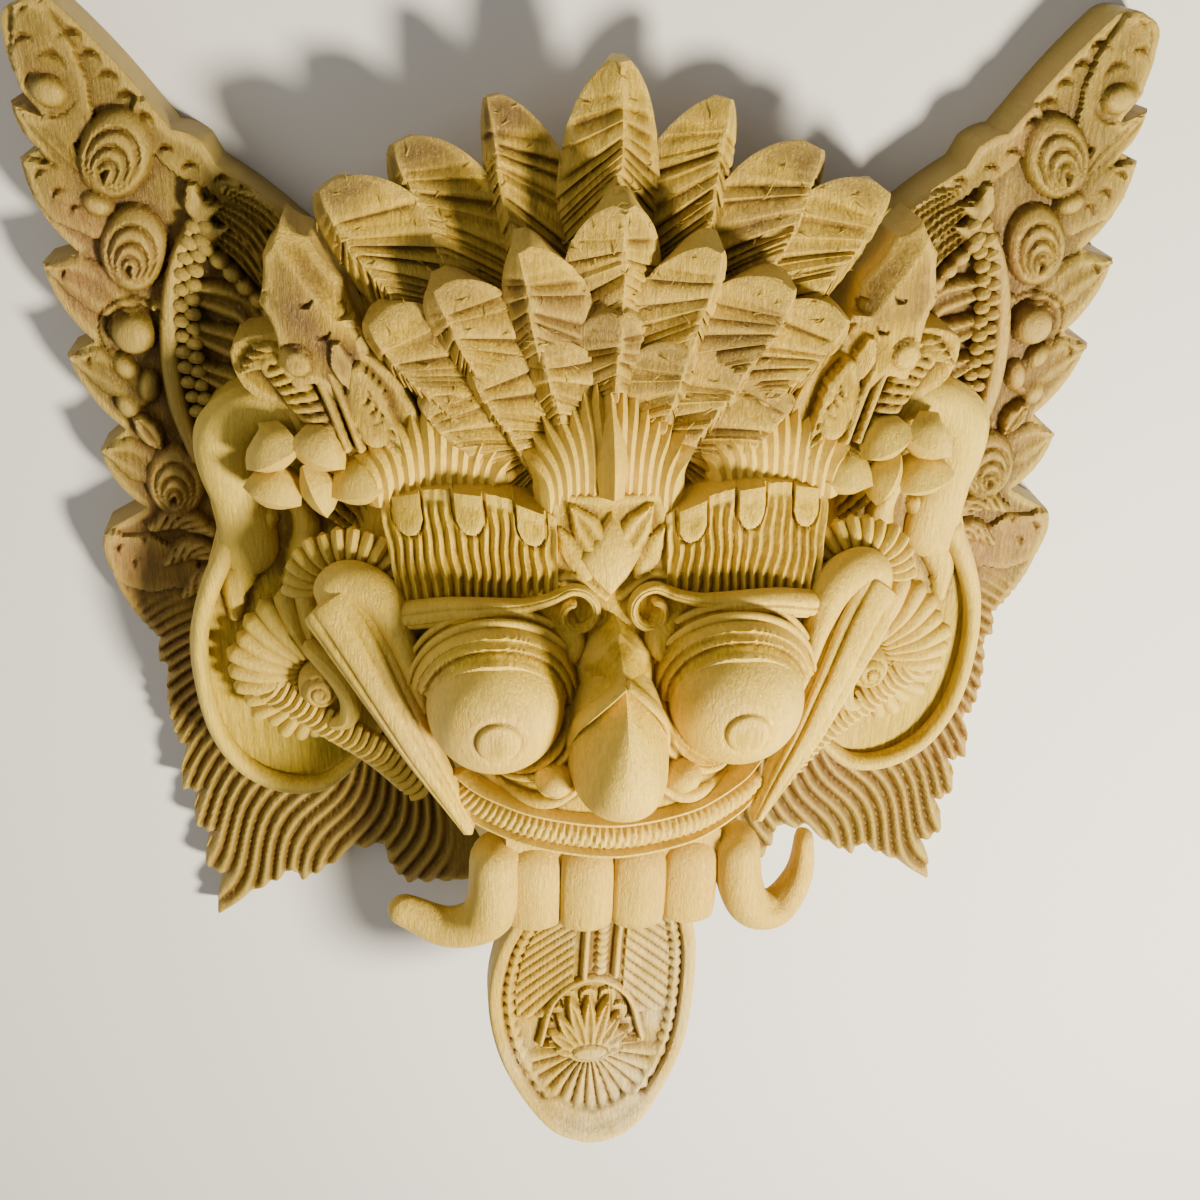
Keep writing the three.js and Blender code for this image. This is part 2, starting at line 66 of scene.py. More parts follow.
# Rows of y, height and half width.
HEAD = np.array([
    [-122, 26, 46], [-100, 60, 54], [-80, 102, 58], [-60, 116, 62], [-35, 124, 68], [-10, 120, 78],
    [15, 112, 90], [40, 96, 104], [65, 80, 109], [90, 66, 112], [120, 54, 112], [148, 43, 98],
    [175, 30, 72], [190, 16, 44]], float)
MUZZLE = np.array([
    [-44, 118, 46], [-32, 131, 56], [-15, 132, 62], [2, 128, 68], [22, 119, 76], [42, 103, 80],
    [54, 86, 78]], float)
SQUARENESS = 3.2


def block_height(x, y, table=HEAD):
    """Height of the roughed-out block over points of the back plane."""
    half = np.interp(y, table[:, 0], table[:, 2])
    share = np.clip(1 - np.abs(x / half) ** SQUARENESS, 0, 1)
    return np.interp(y, table[:, 0], table[:, 1]) * share ** (1 / SQUARENESS)


# %% [markdown]
# Carving follows lines: the edge of a lobe, the spine of a feather, the route of a groove. A smooth line
# through a few points, and the distance of a point from such a line, are all that most cuts need.

# %% Lines
def smooth(points, per=8, closed=False):
    """Points of a smooth curve through a few given points."""
    p = np.asarray(points, float)
    if closed:
        p = np.vstack([p[-1:], p, p[:2]])
    else:
        p = np.vstack([2 * p[0] - p[1], p, 2 * p[-1] - p[-2]])
    t = np.arange(per)[:, None] / per
    runs = []
    for a, b, c, d in zip(p, p[1:], p[2:], p[3:]):
        runs.append(0.5 * (2 * b + (c - a) * t + (2 * a - 5 * b + 4 * c - d) * t ** 2
                           + (3 * b - a - 3 * c + d) * t ** 3))
    if not closed:
        runs.append(p[-2:-1])
    return np.vstack(runs)


def arc(centre, radius, start, end, steps=16):
    """Points on an arc, in degrees."""
    turn = np.radians(np.linspace(start, end, steps))
    return np.column_stack([centre[0] + radius * np.cos(turn), centre[1] + radius * np.sin(turn)])


def beside(x, y, line):
    """Distance to a line, its side (left is positive) and the share of its length, for each point."""
    start, step = line[:-1], np.diff(line, axis=0)
    length = np.maximum(np.hypot(*step.T), 1e-6)
    best = np.full(len(x), 1e9)
    side, share = np.zeros(len(x)), np.zeros(len(x))
    before = np.concatenate([[0], np.cumsum(length)])
    for (ax, ay), (dx, dy), run, at in zip(start, step, length, before):
        t = np.clip(((x - ax) * dx + (y - ay) * dy) / run ** 2, 0, 1)
        ox, oy = x - ax - t * dx, y - ay - t * dy
        distance = np.hypot(ox, oy)
        nearer = distance < best
        best = np.where(nearer, distance, best)
        side = np.where(nearer, np.sign(dx * oy - dy * ox), side)
        share = np.where(nearer, (at + t * run) / before[-1], share)
    return best, side, share


def inside(x, y, outline):
    """Whether points lie within a closed outline."""
    within = np.zeros(len(x), bool)
    for (ax, ay), (bx, by) in zip(outline, np.roll(outline, -1, axis=0)):
        if ay != by:
            crosses = (ay > y) != (by > y)
            within ^= crosses & (x < (bx - ax) * (y - ay) / (by - ay) + ax)
    return within


# %% [markdown]
# A relief is a height over each point of a surface. Each cut below either raises a form above the ground,
# like wood left standing, or sinks a groove. Keeping the forms as functions of distance gives clean, even
# cuts.

# %% A carved relief
class Relief:
    """Heights over points, shaped by one cut after another."""

    def __init__(self, x, y, ground):
        self.x, self.y = x, y
        self.ground = ground + np.zeros_like(x)
        self.h = self.ground.copy()

    def near(self, line, reach):
        """The points within reach of a line, with distance, side and share of its length."""
        low, high = line.min(0) - reach, line.max(0) + reach
        box = (self.x > low[0]) & (self.x < high[0]) & (self.y > low[1]) & (self.y < high[1])
        index = np.flatnonzero(box)
        distance, side, share = beside(self.x[index], self.y[index], line)
        kept = distance < reach
        return index[kept], distance[kept], side[kept], share[kept]

    def raise_to(self, index, lift):
        """Leaves wood standing so high above the ground, where nothing higher stands yet."""
        self.h[index] = np.maximum(self.h[index], self.ground[index] + lift)

    def ridge(self, line, width, rise, shape=(1, 1), crown=2.0):
        """A rounded ridge along a line. shape gives its width at even steps along it."""
        index, d, _, s = self.near(line, width / 2)
        half = width / 2 * np.interp(s, np.linspace(0, 1, len(shape)), shape)
        share = np.clip(1 - (d / np.maximum(half, 1e-3)) ** crown, 0, 1)
        lift = rise * share ** 0.5 * (half / (width / 2)) ** 0.5
        self.raise_to(index, np.where(share > 0, lift, 0))

    def groove(self, line, width, depth, shape=(0.5, 1, 0.5)):
        """A rounded groove along a line."""
        index, d, _, s = self.near(line, width / 2)
        strength = np.interp(s, np.linspace(0, 1, len(shape)), shape)
        share = np.clip(1 - d / (width / 2 * np.maximum(strength, 0.1)), 0, 1)
        self.h[index] -= depth * strength * np.sin(share * math.pi / 2)

    def comb(self, line, width, rise, pitch, lean=0.6, cut=0.7, shape=(1, 1)):
        """A rounded band that is cut across into teeth."""
        index, d, side, s = self.near(line, width / 2)
        length = np.hypot(*np.diff(line, axis=0).T).sum()
        half = width / 2 * np.interp(s, np.linspace(0, 1, len(shape)), shape)
        tooth = (s * length + lean * side * d) / pitch
        tooth = np.sqrt(np.clip(1 - (2 * (tooth % 1) - 1) ** 2, 0, 1))
        share = np.clip(1 - (d / np.maximum(half, 1e-3)) ** 3, 0, 1) ** 0.5
        self.raise_to(index, rise * share * (1 - cut + cut * tooth))

    def dome(self, centre, across, along, rise, turn=0.0, power=2.0):
        """A rounded boss, longer one way."""
        c, s = math.cos(math.radians(turn)), math.sin(math.radians(turn))
        dx, dy = self.x - centre[0], self.y - centre[1]
        u, v = (dx * c + dy * s) / along, (dy * c - dx * s) / across
        share = np.clip(1 - np.hypot(u, v) ** power, 0, 1)
        index = np.flatnonzero(share > 0)
        self.raise_to(index, rise * share[index] ** 0.5)

    def hood(self, centre, radius, turn, rise):
        """A smooth hooded scroll: a long dome with nested lines round a dark slit near its lower end."""
        self.dome(centre, radius * 0.95, radius * 1.3, rise, turn, power=2.8)
        c, s = math.cos(math.radians(turn)), math.sin(math.radians(turn))
        for share, shift, wide in ((0.78, 0.16, 0.13), (0.54, 0.36, 0.13), (0.30, 0.52, 0.15)):
            around = np.linspace(0.35, 2 * math.pi - 0.35, 26)
            u, v = radius * (shift + 1.15 * share * np.cos(around)), radius * 0.82 * share * np.sin(around)
            line = np.column_stack([centre[0] + u * c - v * s, centre[1] + u * s + v * c])
            self.groove(line, radius * wide * 1.6, rise * 0.24, shape=(0.5, 1, 1, 0.5))
        slit = np.array([(0.46, 0), (0.66, 0.05), (0.84, -0.04)]) * radius
        line = np.column_stack([centre[0] + slit[:, 0] * c - slit[:, 1] * s,
                                centre[1] + slit[:, 0] * s + slit[:, 1] * c])
        self.groove(line, radius * 0.3, rise * 0.55, shape=(0.6, 1, 0.4))

    def petal(self, base, tip, width, rise, ribs=3, bow=0.0, shape=(0.55, 1, 0.85, 0.15), depth=0.3):
        """A leaf lobe from base to tip, stepped up from the ground, with grooves that run to its tip."""
        base, tip = np.asarray(base, float), np.asarray(tip, float)
        step = tip - base
        normal = np.array([-step[1], step[0]]) * bow
        spine = smooth([base, (base + tip) / 2 + normal, tip], 6)
        index, d, side, s = self.near(spine, width / 2)
        half = np.maximum(width / 2 * np.interp(s, np.linspace(0, 1, len(shape)), shape), 1e-3)
        v = side * d / half
        share = np.clip(1 - np.abs(v) ** 3, 0, 1)
        cuts = 0.5 - 0.5 * np.cos(2 * math.pi * (v + 1) / 2 * ribs)
        lift = rise * (0.55 + 0.45 * share ** 0.5) * (1 - depth * (1 - cuts))
        self.raise_to(index, np.where(np.abs(v) < 1, lift, 0))

    def crescent(self, centre, radius, turn, depth):
        """A moon-shaped punch mark."""
        line = arc(centre, radius, turn - 75, turn + 75, 9)
        self.groove(line, radius * 0.75, depth, shape=(0.2, 1, 0.2))

    def flutes(self, where, phase, depth, sharp):
        """Parallel grooves: phase counts them over the surface, and where says how strongly they are cut."""
        wave = np.abs(np.sin(math.pi * phase)) ** sharp
        self.h -= where * depth * (1 - wave)


# %% [markdown]
# A shell is one closed lump of wood. Boards are cut from an outline, rods follow a path, and slabs hold a
# carved sheet in front of a plain back. All shells of a region are gathered in one mesh.

# %% Closed shells
class Region:
    """Collects closed shells and turns them into one Blender object."""

    def __init__(self, name):
        self.name, self.points, self.faces, self.tones, self.count = name, [], [], [], 0

    def add(self, shell, tone=0.5, mirror=False):
        points, faces = np.array(shell[0], float), np.array(shell[1])
        if mirror:
            points, faces = points * (-1, 1, 1), faces[:, ::-1]
        self.points.append(points)
        self.faces.append(faces + self.count)
        self.tones.append(np.zeros(len(points)) + tone)
        self.count += len(points)

    def add_both(self, shell, tone=0.5):
        self.add(shell, tone)
        self.add(shell, tone, mirror=True)


def closed_grid(front, back):
    """A closed shell between two sheets of the same rows and columns."""
    rows, columns = front.shape[:2]
    size = rows * columns
    number = np.arange(size).reshape(rows, columns)
    a, b, c, d = number[:-1, :-1], number[:-1, 1:], number[1:, 1:], number[1:, :-1]
    sheet = np.concatenate([np.stack([a, b, c], -1).reshape(-1, 3), np.stack([a, c, d], -1).reshape(-1, 3)])
    rim = np.concatenate([number[0, :], number[1:, -1], number[-1, -2::-1], number[-2:0:-1, 0]])
    after = np.roll(rim, -1)
    wall = np.concatenate([np.stack([rim, rim + size, after], -1),
                           np.stack([after, rim + size, after + size], -1)])
    faces = np.concatenate([sheet, sheet[:, ::-1] + size, wall])
    points = np.concatenate([front.reshape(-1, 3), back.reshape(-1, 3)])
    return outward(points, faces)


def outward(points, faces):
    """Turns all faces round if the shell is inside out."""
    p, q, r = (points[faces[:, k]] for k in range(3))
    volume = np.einsum("ij,ij->i", p, np.cross(q, r)).sum()
    return points, faces if volume > 0 else faces[:, ::-1]


def tube(rings):
    """A closed shell through rings of points, with a fan at each end."""
    rows, count = rings.shape[:2]
    number = np.arange(rows * count).reshape(rows, count)
    a, b = number[:-1], np.roll(number, -1, axis=1)[:-1]
    c, d = np.roll(number, -1, axis=1)[1:], number[1:]
    faces = [np.stack([a, b, c], -1).reshape(-1, 3), np.stack([a, c, d], -1).reshape(-1, 3)]
    points = np.concatenate([rings.reshape(-1, 3), rings[:1].mean(1), rings[-1:].mean(1)])
    for row, middle, flip in ((0, rows * count, True), (rows - 1, rows * count + 1, False)):
        rim = number[row]
        fan = np.stack([rim, np.roll(rim, -1), np.full(count, middle)], -1)
        faces.append(fan[:, ::-1] if flip else fan)
    return outward(points, np.concatenate(faces))


def rod(path, across, out, sides=18, per=8, cuts=None, blunt=(1, 1)):
    """A rounded rod along a smooth path. across and out are its half sizes at even steps."""
    line = smooth(path, per)
    step = np.gradient(line, axis=0)
    step /= np.linalg.norm(step, axis=1)[:, None]
    run = np.concatenate([[0], np.cumsum(np.linalg.norm(np.diff(line, axis=0), axis=1))])
    front = np.array([0, 0, 1.0]) - step * step[:, 2:]
    front /= np.linalg.norm(front, axis=1)[:, None]
    aside = np.cross(step, front)
    share = run / run[-1]
    wide = np.interp(share, np.linspace(0, 1, len(across)), across)
    high = np.interp(share, np.linspace(0, 1, len(out)), out)
    size = np.ones(len(line))
    for end, distance in zip(blunt, (run, run[-1] - run)):
        near = np.clip(distance / (wide * end), 0, 1)
        size *= np.sqrt(np.clip(1 - (1 - near) ** 2, 0.02, 1))
    turn = np.linspace(0, 2 * math.pi, sides, endpoint=False)
    if cuts is not None:
        size = size[:, None] * cuts(run[:, None], turn[None, :])
    else:
        size = size[:, None] * np.ones(sides)
    rings = (line[:, None] + aside[:, None] * (wide[:, None] * size * np.cos(turn))[..., None]
             + front[:, None] * (high[:, None] * size * np.sin(turn))[..., None])
    return tube(rings)


# %% [markdown]
# A board is drawn, sawn out and then carved from the front. Its outline is kept exactly by a constrained
# triangulation, rows of points just inside it give the edge its small rounding, and an even field of
# points in the middle carries the relief. Nobody looks at the plain back, so it has far fewer points.

# %% Boards
def evenly(outline, spacing):
    """The outline with points added so that no edge is longer than the spacing."""
    runs = []
    for a, b in zip(outline, np.roll(outline, -1, axis=0)):
        count = max(1, int(math.ceil(np.hypot(*(b - a)) / spacing)))
        runs.append(a + (b - a) * np.arange(count)[:, None] / count)
    return np.vstack(runs)


def field(outline, spacing):
    """An even field of staggered points over an outline."""
    low, high = outline.min(0), outline.max(0)
    gx, gy = np.meshgrid(np.arange(low[0], high[0], spacing), np.arange(low[1], high[1], spacing * 0.87))
    gx[1::2] += spacing / 2
    return np.column_stack([gx.ravel(), gy.ravel()])


def filled(outline, rows):
    """Points inside an outline, each row at least so deep from its edge, and the faces over them."""
    loop = np.vstack([outline, outline[:1]])
    points, depths = [outline], [np.zeros(len(outline))]
    for row, least in rows:
        depth = beside(row[:, 0], row[:, 1], loop)[0]
        kept = (depth > least) & inside(row[:, 0], row[:, 1], outline)
        points.append(row[kept])
        depths.append(depth[kept])
    points, depth = np.vstack(points), np.concatenate(depths)
    ring = [(i, (i + 1) % len(outline)) for i in range(len(outline))]
    made = delaunay_2d_cdt([Vector(p) for p in points], ring, [], 1, 1e-5)
    source = np.array([first[0] if first else -1 for first in made[3]])
    faces = source[np.array(made[2])]
    faces = faces[(faces >= 0).all(1)]
    a, b, c = (points[faces[:, k]] for k in range(3))
    turned = (b[:, 0] - a[:, 0]) * (c[:, 1] - a[:, 1]) - (b[:, 1] - a[:, 1]) * (c[:, 0] - a[:, 0])
    faces[turned < 0] = faces[turned < 0][:, ::-1]
    return points, depth, faces


def board(outline, top, floor=0.0, grid=1.2, bevel=1.0, sparse=5.0):
    """A closed block over an outline, with a carved top. floor is a level or a function, on fewer points."""
    outline = np.asarray(outline, float)
    x, y = outline.T
    if np.sum(x * np.roll(y, -1) - y * np.roll(x, -1)) < 0:
        outline = outline[::-1]
    outline = evenly(outline, grid * 1.5)
    ahead = np.roll(outline, -1, axis=0) - np.roll(outline, 1, axis=0)
    ahead /= np.maximum(np.hypot(*ahead.T), 1e-6)[:, None]
    inward = np.column_stack([-ahead[:, 1], ahead[:, 0]])
    rows = [(outline + inward * bevel * share, bevel * share * 0.85) for share in (0.3, 1.0)]
    points, depth, faces = filled(outline, rows + [(field(outline, grid), bevel + grid * 0.5)])
    height = top(points[:, 0], points[:, 1])
    round_off = bevel * (1 - np.sqrt(1 - (1 - np.clip(depth / bevel, 0, 1)) ** 2))
    front = np.column_stack([points, height - round_off])
    flat, _, under_faces = filled(outline, [(field(outline, grid * sparse), grid * sparse * 0.4)])
    under = floor(flat[:, 0], flat[:, 1]) if callable(floor) else np.zeros(len(flat)) + floor
    back = np.column_stack([flat, under])
    rim, size = np.arange(len(outline)), len(points)
    after = np.roll(rim, -1)
    wall = np.concatenate([np.stack([rim, rim + size, after], -1),
                           np.stack([after, rim + size, after + size], -1)])
    return np.concatenate([front, back]), np.concatenate([faces, under_faces[:, ::-1] + size, wall])


def swelling(rows, per=5):
    """An outline from rows of x, y and how far the edge to the next point swells outwards."""
    rows = np.asarray(rows, float)
    runs = []
    for (ax, ay, bulge), (bx, by, _) in zip(rows, np.roll(rows, -1, axis=0)):
        a, b = np.array([ax, ay]), np.array([bx, by])
        out = np.array([ay - by, bx - ax]) / max(math.hypot(bx - ax, by - ay), 1e-6)
        t = (np.arange(per if bulge else 1) / (per if bulge else 1))[:, None]
        runs.append(a + (b - a) * t + out * 4 * bulge * t * (1 - t))
    return np.vstack(runs)


# %% [markdown]
# The finish shows in the cuts: dust and stain stay in the hollows, which are also darkened with painted
# shade, and edges are pale from wear and a painted highlight. So each finished mesh carries two numbers on
# every point: how far it lies below its surroundings, and its tone, from golden heartwood to the pinkish
# face of a fresh cut. The materials read both.

# %% From shells to a finished piece
def hollowness(points, faces, rounds=10):
    """How far each point lies below its smoothed surroundings, in millimetres."""
    ends = np.concatenate([faces[:, [0, 1]], faces[:, [1, 2]], faces[:, [2, 0]]])
    start, end = np.concatenate([ends[:, 0], ends[:, 1]]), np.concatenate([ends[:, 1], ends[:, 0]])
    size = len(points)
    count = np.maximum(np.bincount(start, minlength=size), 1)
    a, b, c = (points[faces[:, k]] for k in range(3))
    facing = np.cross(b - a, c - a)
    normal = np.column_stack([np.bincount(faces.ravel(), np.repeat(facing[:, k], 3), size) for k in range(3)])
    normal /= np.maximum(np.linalg.norm(normal, axis=1), 1e-9)[:, None]
    flat = points.copy()
    for _ in range(rounds):
        flat = np.column_stack([np.bincount(start, flat[end, k], size) / count for k in range(3)])
    return np.einsum("ij,ij->i", flat - points, normal)


def finished(region, material, sharp=42.0):
    """The region as one object at the origin, riding on the block and standing for it."""
    points, faces = np.concatenate(region.points), np.concatenate(region.faces)
    places = (points + (0, SHIFT_Y, 0)) / 1000
    places = np.clip(places, BLOCK_LOW / 1000, BLOCK_HIGH / 1000)
    mesh = bpy.data.meshes.new(region.name)
    mesh.vertices.add(len(places))
    mesh.vertices.foreach_set("co", places.astype(np.float32).ravel())
    mesh.loops.add(faces.size)
    mesh.loops.foreach_set("vertex_index", faces.astype(np.int32).ravel())
    mesh.polygons.add(len(faces))
    mesh.polygons.foreach_set("loop_start", np.arange(0, faces.size, 3, dtype=np.int32))
    mesh.update(calc_edges=True)
    mesh.shade_smooth()
    mesh.set_sharp_from_angle(angle=math.radians(sharp))
    for name, values in (("hollow", hollowness(points, faces)), ("tone", np.concatenate(region.tones))):
        attribute = mesh.attributes.new(name, "FLOAT", "POINT")
        attribute.data.foreach_set("value", values.astype(np.float32))
    mesh.materials.append(material)
    piece = bpy.data.objects.new(region.name, mesh)
    bpy.context.scene.collection.objects.link(piece)
    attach(piece, "root")
    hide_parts("carved_mask")
    print(region.name, len(faces), "triangles")


# %% [markdown]
# The wood is pale, with a fine grain that runs from tongue to crown, a golden stain in patches, brown
# dust and painted shade in the cuts, pale edges and glints painted on as highlights, and tiny torn fibres
# where the gouge went across the grain. Three shader groups hold these effects, and every wood below
# places them with its own values.

# %% Helpers for shader groups
def shader_group(name, inputs, outputs):
    """An empty shader group with its inputs and outputs."""
    tree = bpy.data.node_groups.new(name, "ShaderNodeTree")
    for title, kind, value in inputs:
        socket = tree.interface.new_socket(title, in_out="INPUT", socket_type=kind)
        socket.default_value = value
    for title, kind in outputs:
        tree.interface.new_socket(title, in_out="OUTPUT", socket_type=kind)
    return tree, tree.nodes.new("NodeGroupInput"), tree.nodes.new("NodeGroupOutput")


def put(tree, kind, links=(), **values):
    """A node with its settings, and its inputs given as values or as links from other nodes."""
    node = tree.nodes.new(kind)
    for name, value in values.items():
        setattr(node, name, value)
    for socket, value in dict(links).items():
        if isinstance(value, bpy.types.NodeSocket):
            tree.links.new(value, node.inputs[socket])
        else:
            node.inputs[socket].default_value = value
    return node


def math_node(tree, operation, *values):
    """The result of one sum on values or sockets."""
    return put(tree, "ShaderNodeMath", dict(enumerate(values)), operation=operation).outputs[0]


def mixed(tree, share, one, other, blend="MIX"):
    """A colour between two others."""
    node = put(tree, "ShaderNodeMix", data_type="RGBA", blend_type=blend)
    for socket, value in ((node.inputs[0], share), (node.inputs[6], one), (node.inputs[7], other)):
        if isinstance(value, bpy.types.NodeSocket):
            tree.links.new(value, socket)
        else:
            socket.default_value = value
    return node.outputs[2]


def ranged(tree, value, low, high, to_low=0.0, to_high=1.0):
    """A value brought from one range to another, and held inside it."""
    node = put(tree, "ShaderNodeMapRange", {0: value, 1: low, 2: high, 3: to_low, 4: to_high}, clamp=True)
    return node.outputs[0]


def noise(tree, place, scale, detail=4.0, rough=0.55, distortion=0.0):
    """Noise at a place."""
    sockets = {"Vector": place, "Scale": scale, "Detail": detail, "Roughness": rough,
               "Distortion": distortion}
    return put(tree, "ShaderNodeTexNoise", sockets).outputs[0]


# %% The grain of the wood
def grain_group():
    """Long fibres, broad growth bands and patches of stain, as three masks."""
    tree, given, made = shader_group(
        "wood_grain",
        [("Place", "NodeSocketVector", (0, 0, 0)), ("Band scale", "NodeSocketFloat", 16.0),
         ("Waviness", "NodeSocketFloat", 2.0)],
        [("Fibre", "NodeSocketFloat"), ("Band", "NodeSocketFloat"), ("Patch", "NodeSocketFloat")])
    long = put(tree, "ShaderNodeMapping", {"Vector": given.outputs["Place"], "Scale": (1.0, 0.07, 0.6)})
    fibre = noise(tree, long.outputs[0], 900.0, 3.0, 0.6)
    wide = put(tree, "ShaderNodeMapping", {"Vector": given.outputs["Place"], "Scale": (1.0, 0.14, 1.3)})
    wobble = noise(tree, wide.outputs[0], given.outputs["Band scale"], 3.0, 0.5)
    rings = math_node(tree, "MULTIPLY", wobble, math_node(tree, "MULTIPLY", given.outputs["Waviness"], 9.0))
    band = math_node(tree, "PINGPONG", rings, 1.0)
    patch = noise(tree, given.outputs["Place"], 13.0, 3.0, 0.55, 0.4)
    for name, value in (("Fibre", fibre), ("Band", band), ("Patch", patch)):
        tree.links.new(value, made.inputs[name])
    return tree


WOOD_GRAIN = grain_group()


# %% Dust and painted shade in the cuts, and pale edges with a painted highlight
def cut_group():
    """Masks for dust and painted shade in the deep cuts and for pale wear and painted highlights on the
    edges, from the hollowness of the mesh.
    """
    tree, given, made = shader_group(
        "cut_marks",
        [("Place", "NodeSocketVector", (0, 0, 0)), ("Reach", "NodeSocketFloat", 1.0)],
        [("Deep", "NodeSocketFloat"), ("Edge", "NodeSocketFloat")])
    hollow = put(tree, "ShaderNodeAttribute", attribute_name="hollow",
                 attribute_type="GEOMETRY").outputs["Fac"]
    broken = ranged(tree, noise(tree, given.outputs["Place"], 240.0, 3.0), 0.3, 0.7, 0.65, 1.35)
    # Painted shade: points that lie below their surroundings get darker, together with dust and stain.
    deep = ranged(tree, math_node(tree, "MULTIPLY", hollow, broken), 0.02, given.outputs["Reach"])
    # Painted highlight: points that stand above their surroundings get paler, together with pale wear.
    edge = ranged(tree, math_node(tree, "MULTIPLY", hollow, -1.0), 0.05, given.outputs["Reach"])
    tree.links.new(deep, made.inputs["Deep"])
    tree.links.new(edge, made.inputs["Edge"])
    return tree


CUT_SHADE_AND_EDGE_LIGHT = cut_group()


# %% Torn fibres, tool marks and painted glints
def torn_and_glint_group():
    """A height for the small splinters and scrapes that the gouge leaves, and a mask of painted glints."""
    tree, given, made = shader_group(
        "torn_fibres",
        [("Place", "NodeSocketVector", (0, 0, 0)), ("Fibre", "NodeSocketFloat", 0.5),
         ("Torn", "NodeSocketFloat", 0.3)],
        [("Height", "NodeSocketFloat"), ("Speck", "NodeSocketFloat")])
    splinters = put(tree, "ShaderNodeMapping", {"Vector": given.outputs["Place"], "Scale": (1.0, 0.35, 0.8)})
    rough = noise(tree, splinters.outputs[0], 700.0, 5.0, 0.7, 1.2)
    scrape = noise(tree, given.outputs["Place"], 150.0, 3.0, 0.6)
    torn = math_node(tree, "MULTIPLY", rough, given.outputs["Torn"])
    height = math_node(tree, "ADD", math_node(tree, "MULTIPLY", given.outputs["Fibre"], 0.25), torn)
    height = math_node(tree, "ADD", height, math_node(tree, "MULTIPLY", scrape, 0.3))
    tree.links.new(height, made.inputs["Height"])
    # Painted highlight: the highest specks of the torn-fibre noise become a mask for pale glints in the
    # colour.
    tree.links.new(ranged(tree, rough, 0.56, 0.7), made.inputs["Speck"])
    return tree


TORN_FIBRES_AND_GLINTS = torn_and_glint_group()


# %% [markdown]
# The whole mask is one wood, but stain, dust and handling differ from part to part, and the darker copy for
# the wings also holds painted shade. One function could be copied for each part and changed by hand. Here it
# is built once from the three groups, and each part gives it four colours and a few strengths, so that all
# parts still look cut from the same block.

# %% One wood, several finishes
# Pale colour for worn edges; it also paints highlights on the edges and glints on the torn fibres.
PALE_WEAR_AND_HIGHLIGHT = (1.0, 0.74, 0.2, 1)
WAXY_GLINT = (1.0, 0.84, 0.5, 1)


def wood(name, golden, straw, fresh, deep, torn=0.3, reach=1.0, roughness=0.55, patchy=0.8, bump=0.0008):
    """A carved finish: tone 0 is golden, 0.5 is straw and 1 is the face of a fresh cut."""
    material = bpy.data.materials.new(name)
    material.use_nodes = True
    tree = material.node_tree
    tree.nodes.clear()
    place = put(tree, "ShaderNodeTexCoord").outputs["Object"]
    grain = put(tree, "ShaderNodeGroup", node_tree=WOOD_GRAIN)
    cuts = put(tree, "ShaderNodeGroup", node_tree=CUT_SHADE_AND_EDGE_LIGHT)
    fibres = put(tree, "ShaderNodeGroup", node_tree=TORN_FIBRES_AND_GLINTS)
    cuts.inputs["Reach"].default_value = reach
    fibres.inputs["Torn"].default_value = torn
    for group in (grain, cuts, fibres):
        tree.links.new(place, group.inputs["Place"])
    tree.links.new(grain.outputs["Fibre"], fibres.inputs["Fibre"])
    tone = put(tree, "ShaderNodeAttribute", attribute_name="tone", attribute_type="GEOMETRY").outputs["Fac"]
    strayed = math_node(tree, "ADD", tone,
                        ranged(tree, grain.outputs["Patch"], 0.35, 0.65, -patchy / 2, patchy / 2))
    base = mixed(tree, ranged(tree, strayed, 0.0, 0.5), golden, straw)
    base = mixed(tree, ranged(tree, strayed, 0.55, 1.0), base, fresh)
    streak = ranged(tree, grain.outputs["Fibre"], 0.35, 0.68, 0.66, 1.14)
    bands = ranged(tree, grain.outputs["Band"], 0.0, 1.0, 0.84, 1.08)
    shade = math_node(tree, "MULTIPLY", streak, bands)
    shade = put(tree, "ShaderNodeCombineColor", {0: shade, 1: shade, 2: shade}).outputs[0]
    base = mixed(tree, 1.0, base, shade, "MULTIPLY")
    # Painted shade, with dust and stain: the hollows are coloured towards the deep colour.
    base = mixed(tree, math_node(tree, "MULTIPLY", cuts.outputs["Deep"], 0.9), base, deep)
    # Painted highlights: the edges, partly worn pale, and small glints are coloured towards this pale colour.
    pale = mixed(tree, 0.4, straw, PALE_WEAR_AND_HIGHLIGHT)
    base = mixed(tree, math_node(tree, "MULTIPLY", cuts.outputs["Edge"], 0.5), base, pale)
    base = mixed(tree, math_node(tree, "MULTIPLY", fibres.outputs["Speck"], 0.3), base, pale)
    rough = ranged(tree, fibres.outputs["Height"], 0.2, 0.7, roughness - 0.08, roughness + 0.14)
    normal = put(tree, "ShaderNodeBump",
                 {"Height": fibres.outputs["Height"], "Strength": 0.9, "Distance": bump})
    shader = put(tree, "ShaderNodeBsdfPrincipled",
                 {"Base Color": base, "Roughness": rough, "Normal": normal.outputs[0],
                  "Specular IOR Level": 0.6, "Specular Tint": WAXY_GLINT})
    output = put(tree, "ShaderNodeOutputMaterial")
    tree.links.new(shader.outputs[0], output.inputs[0])
    return material


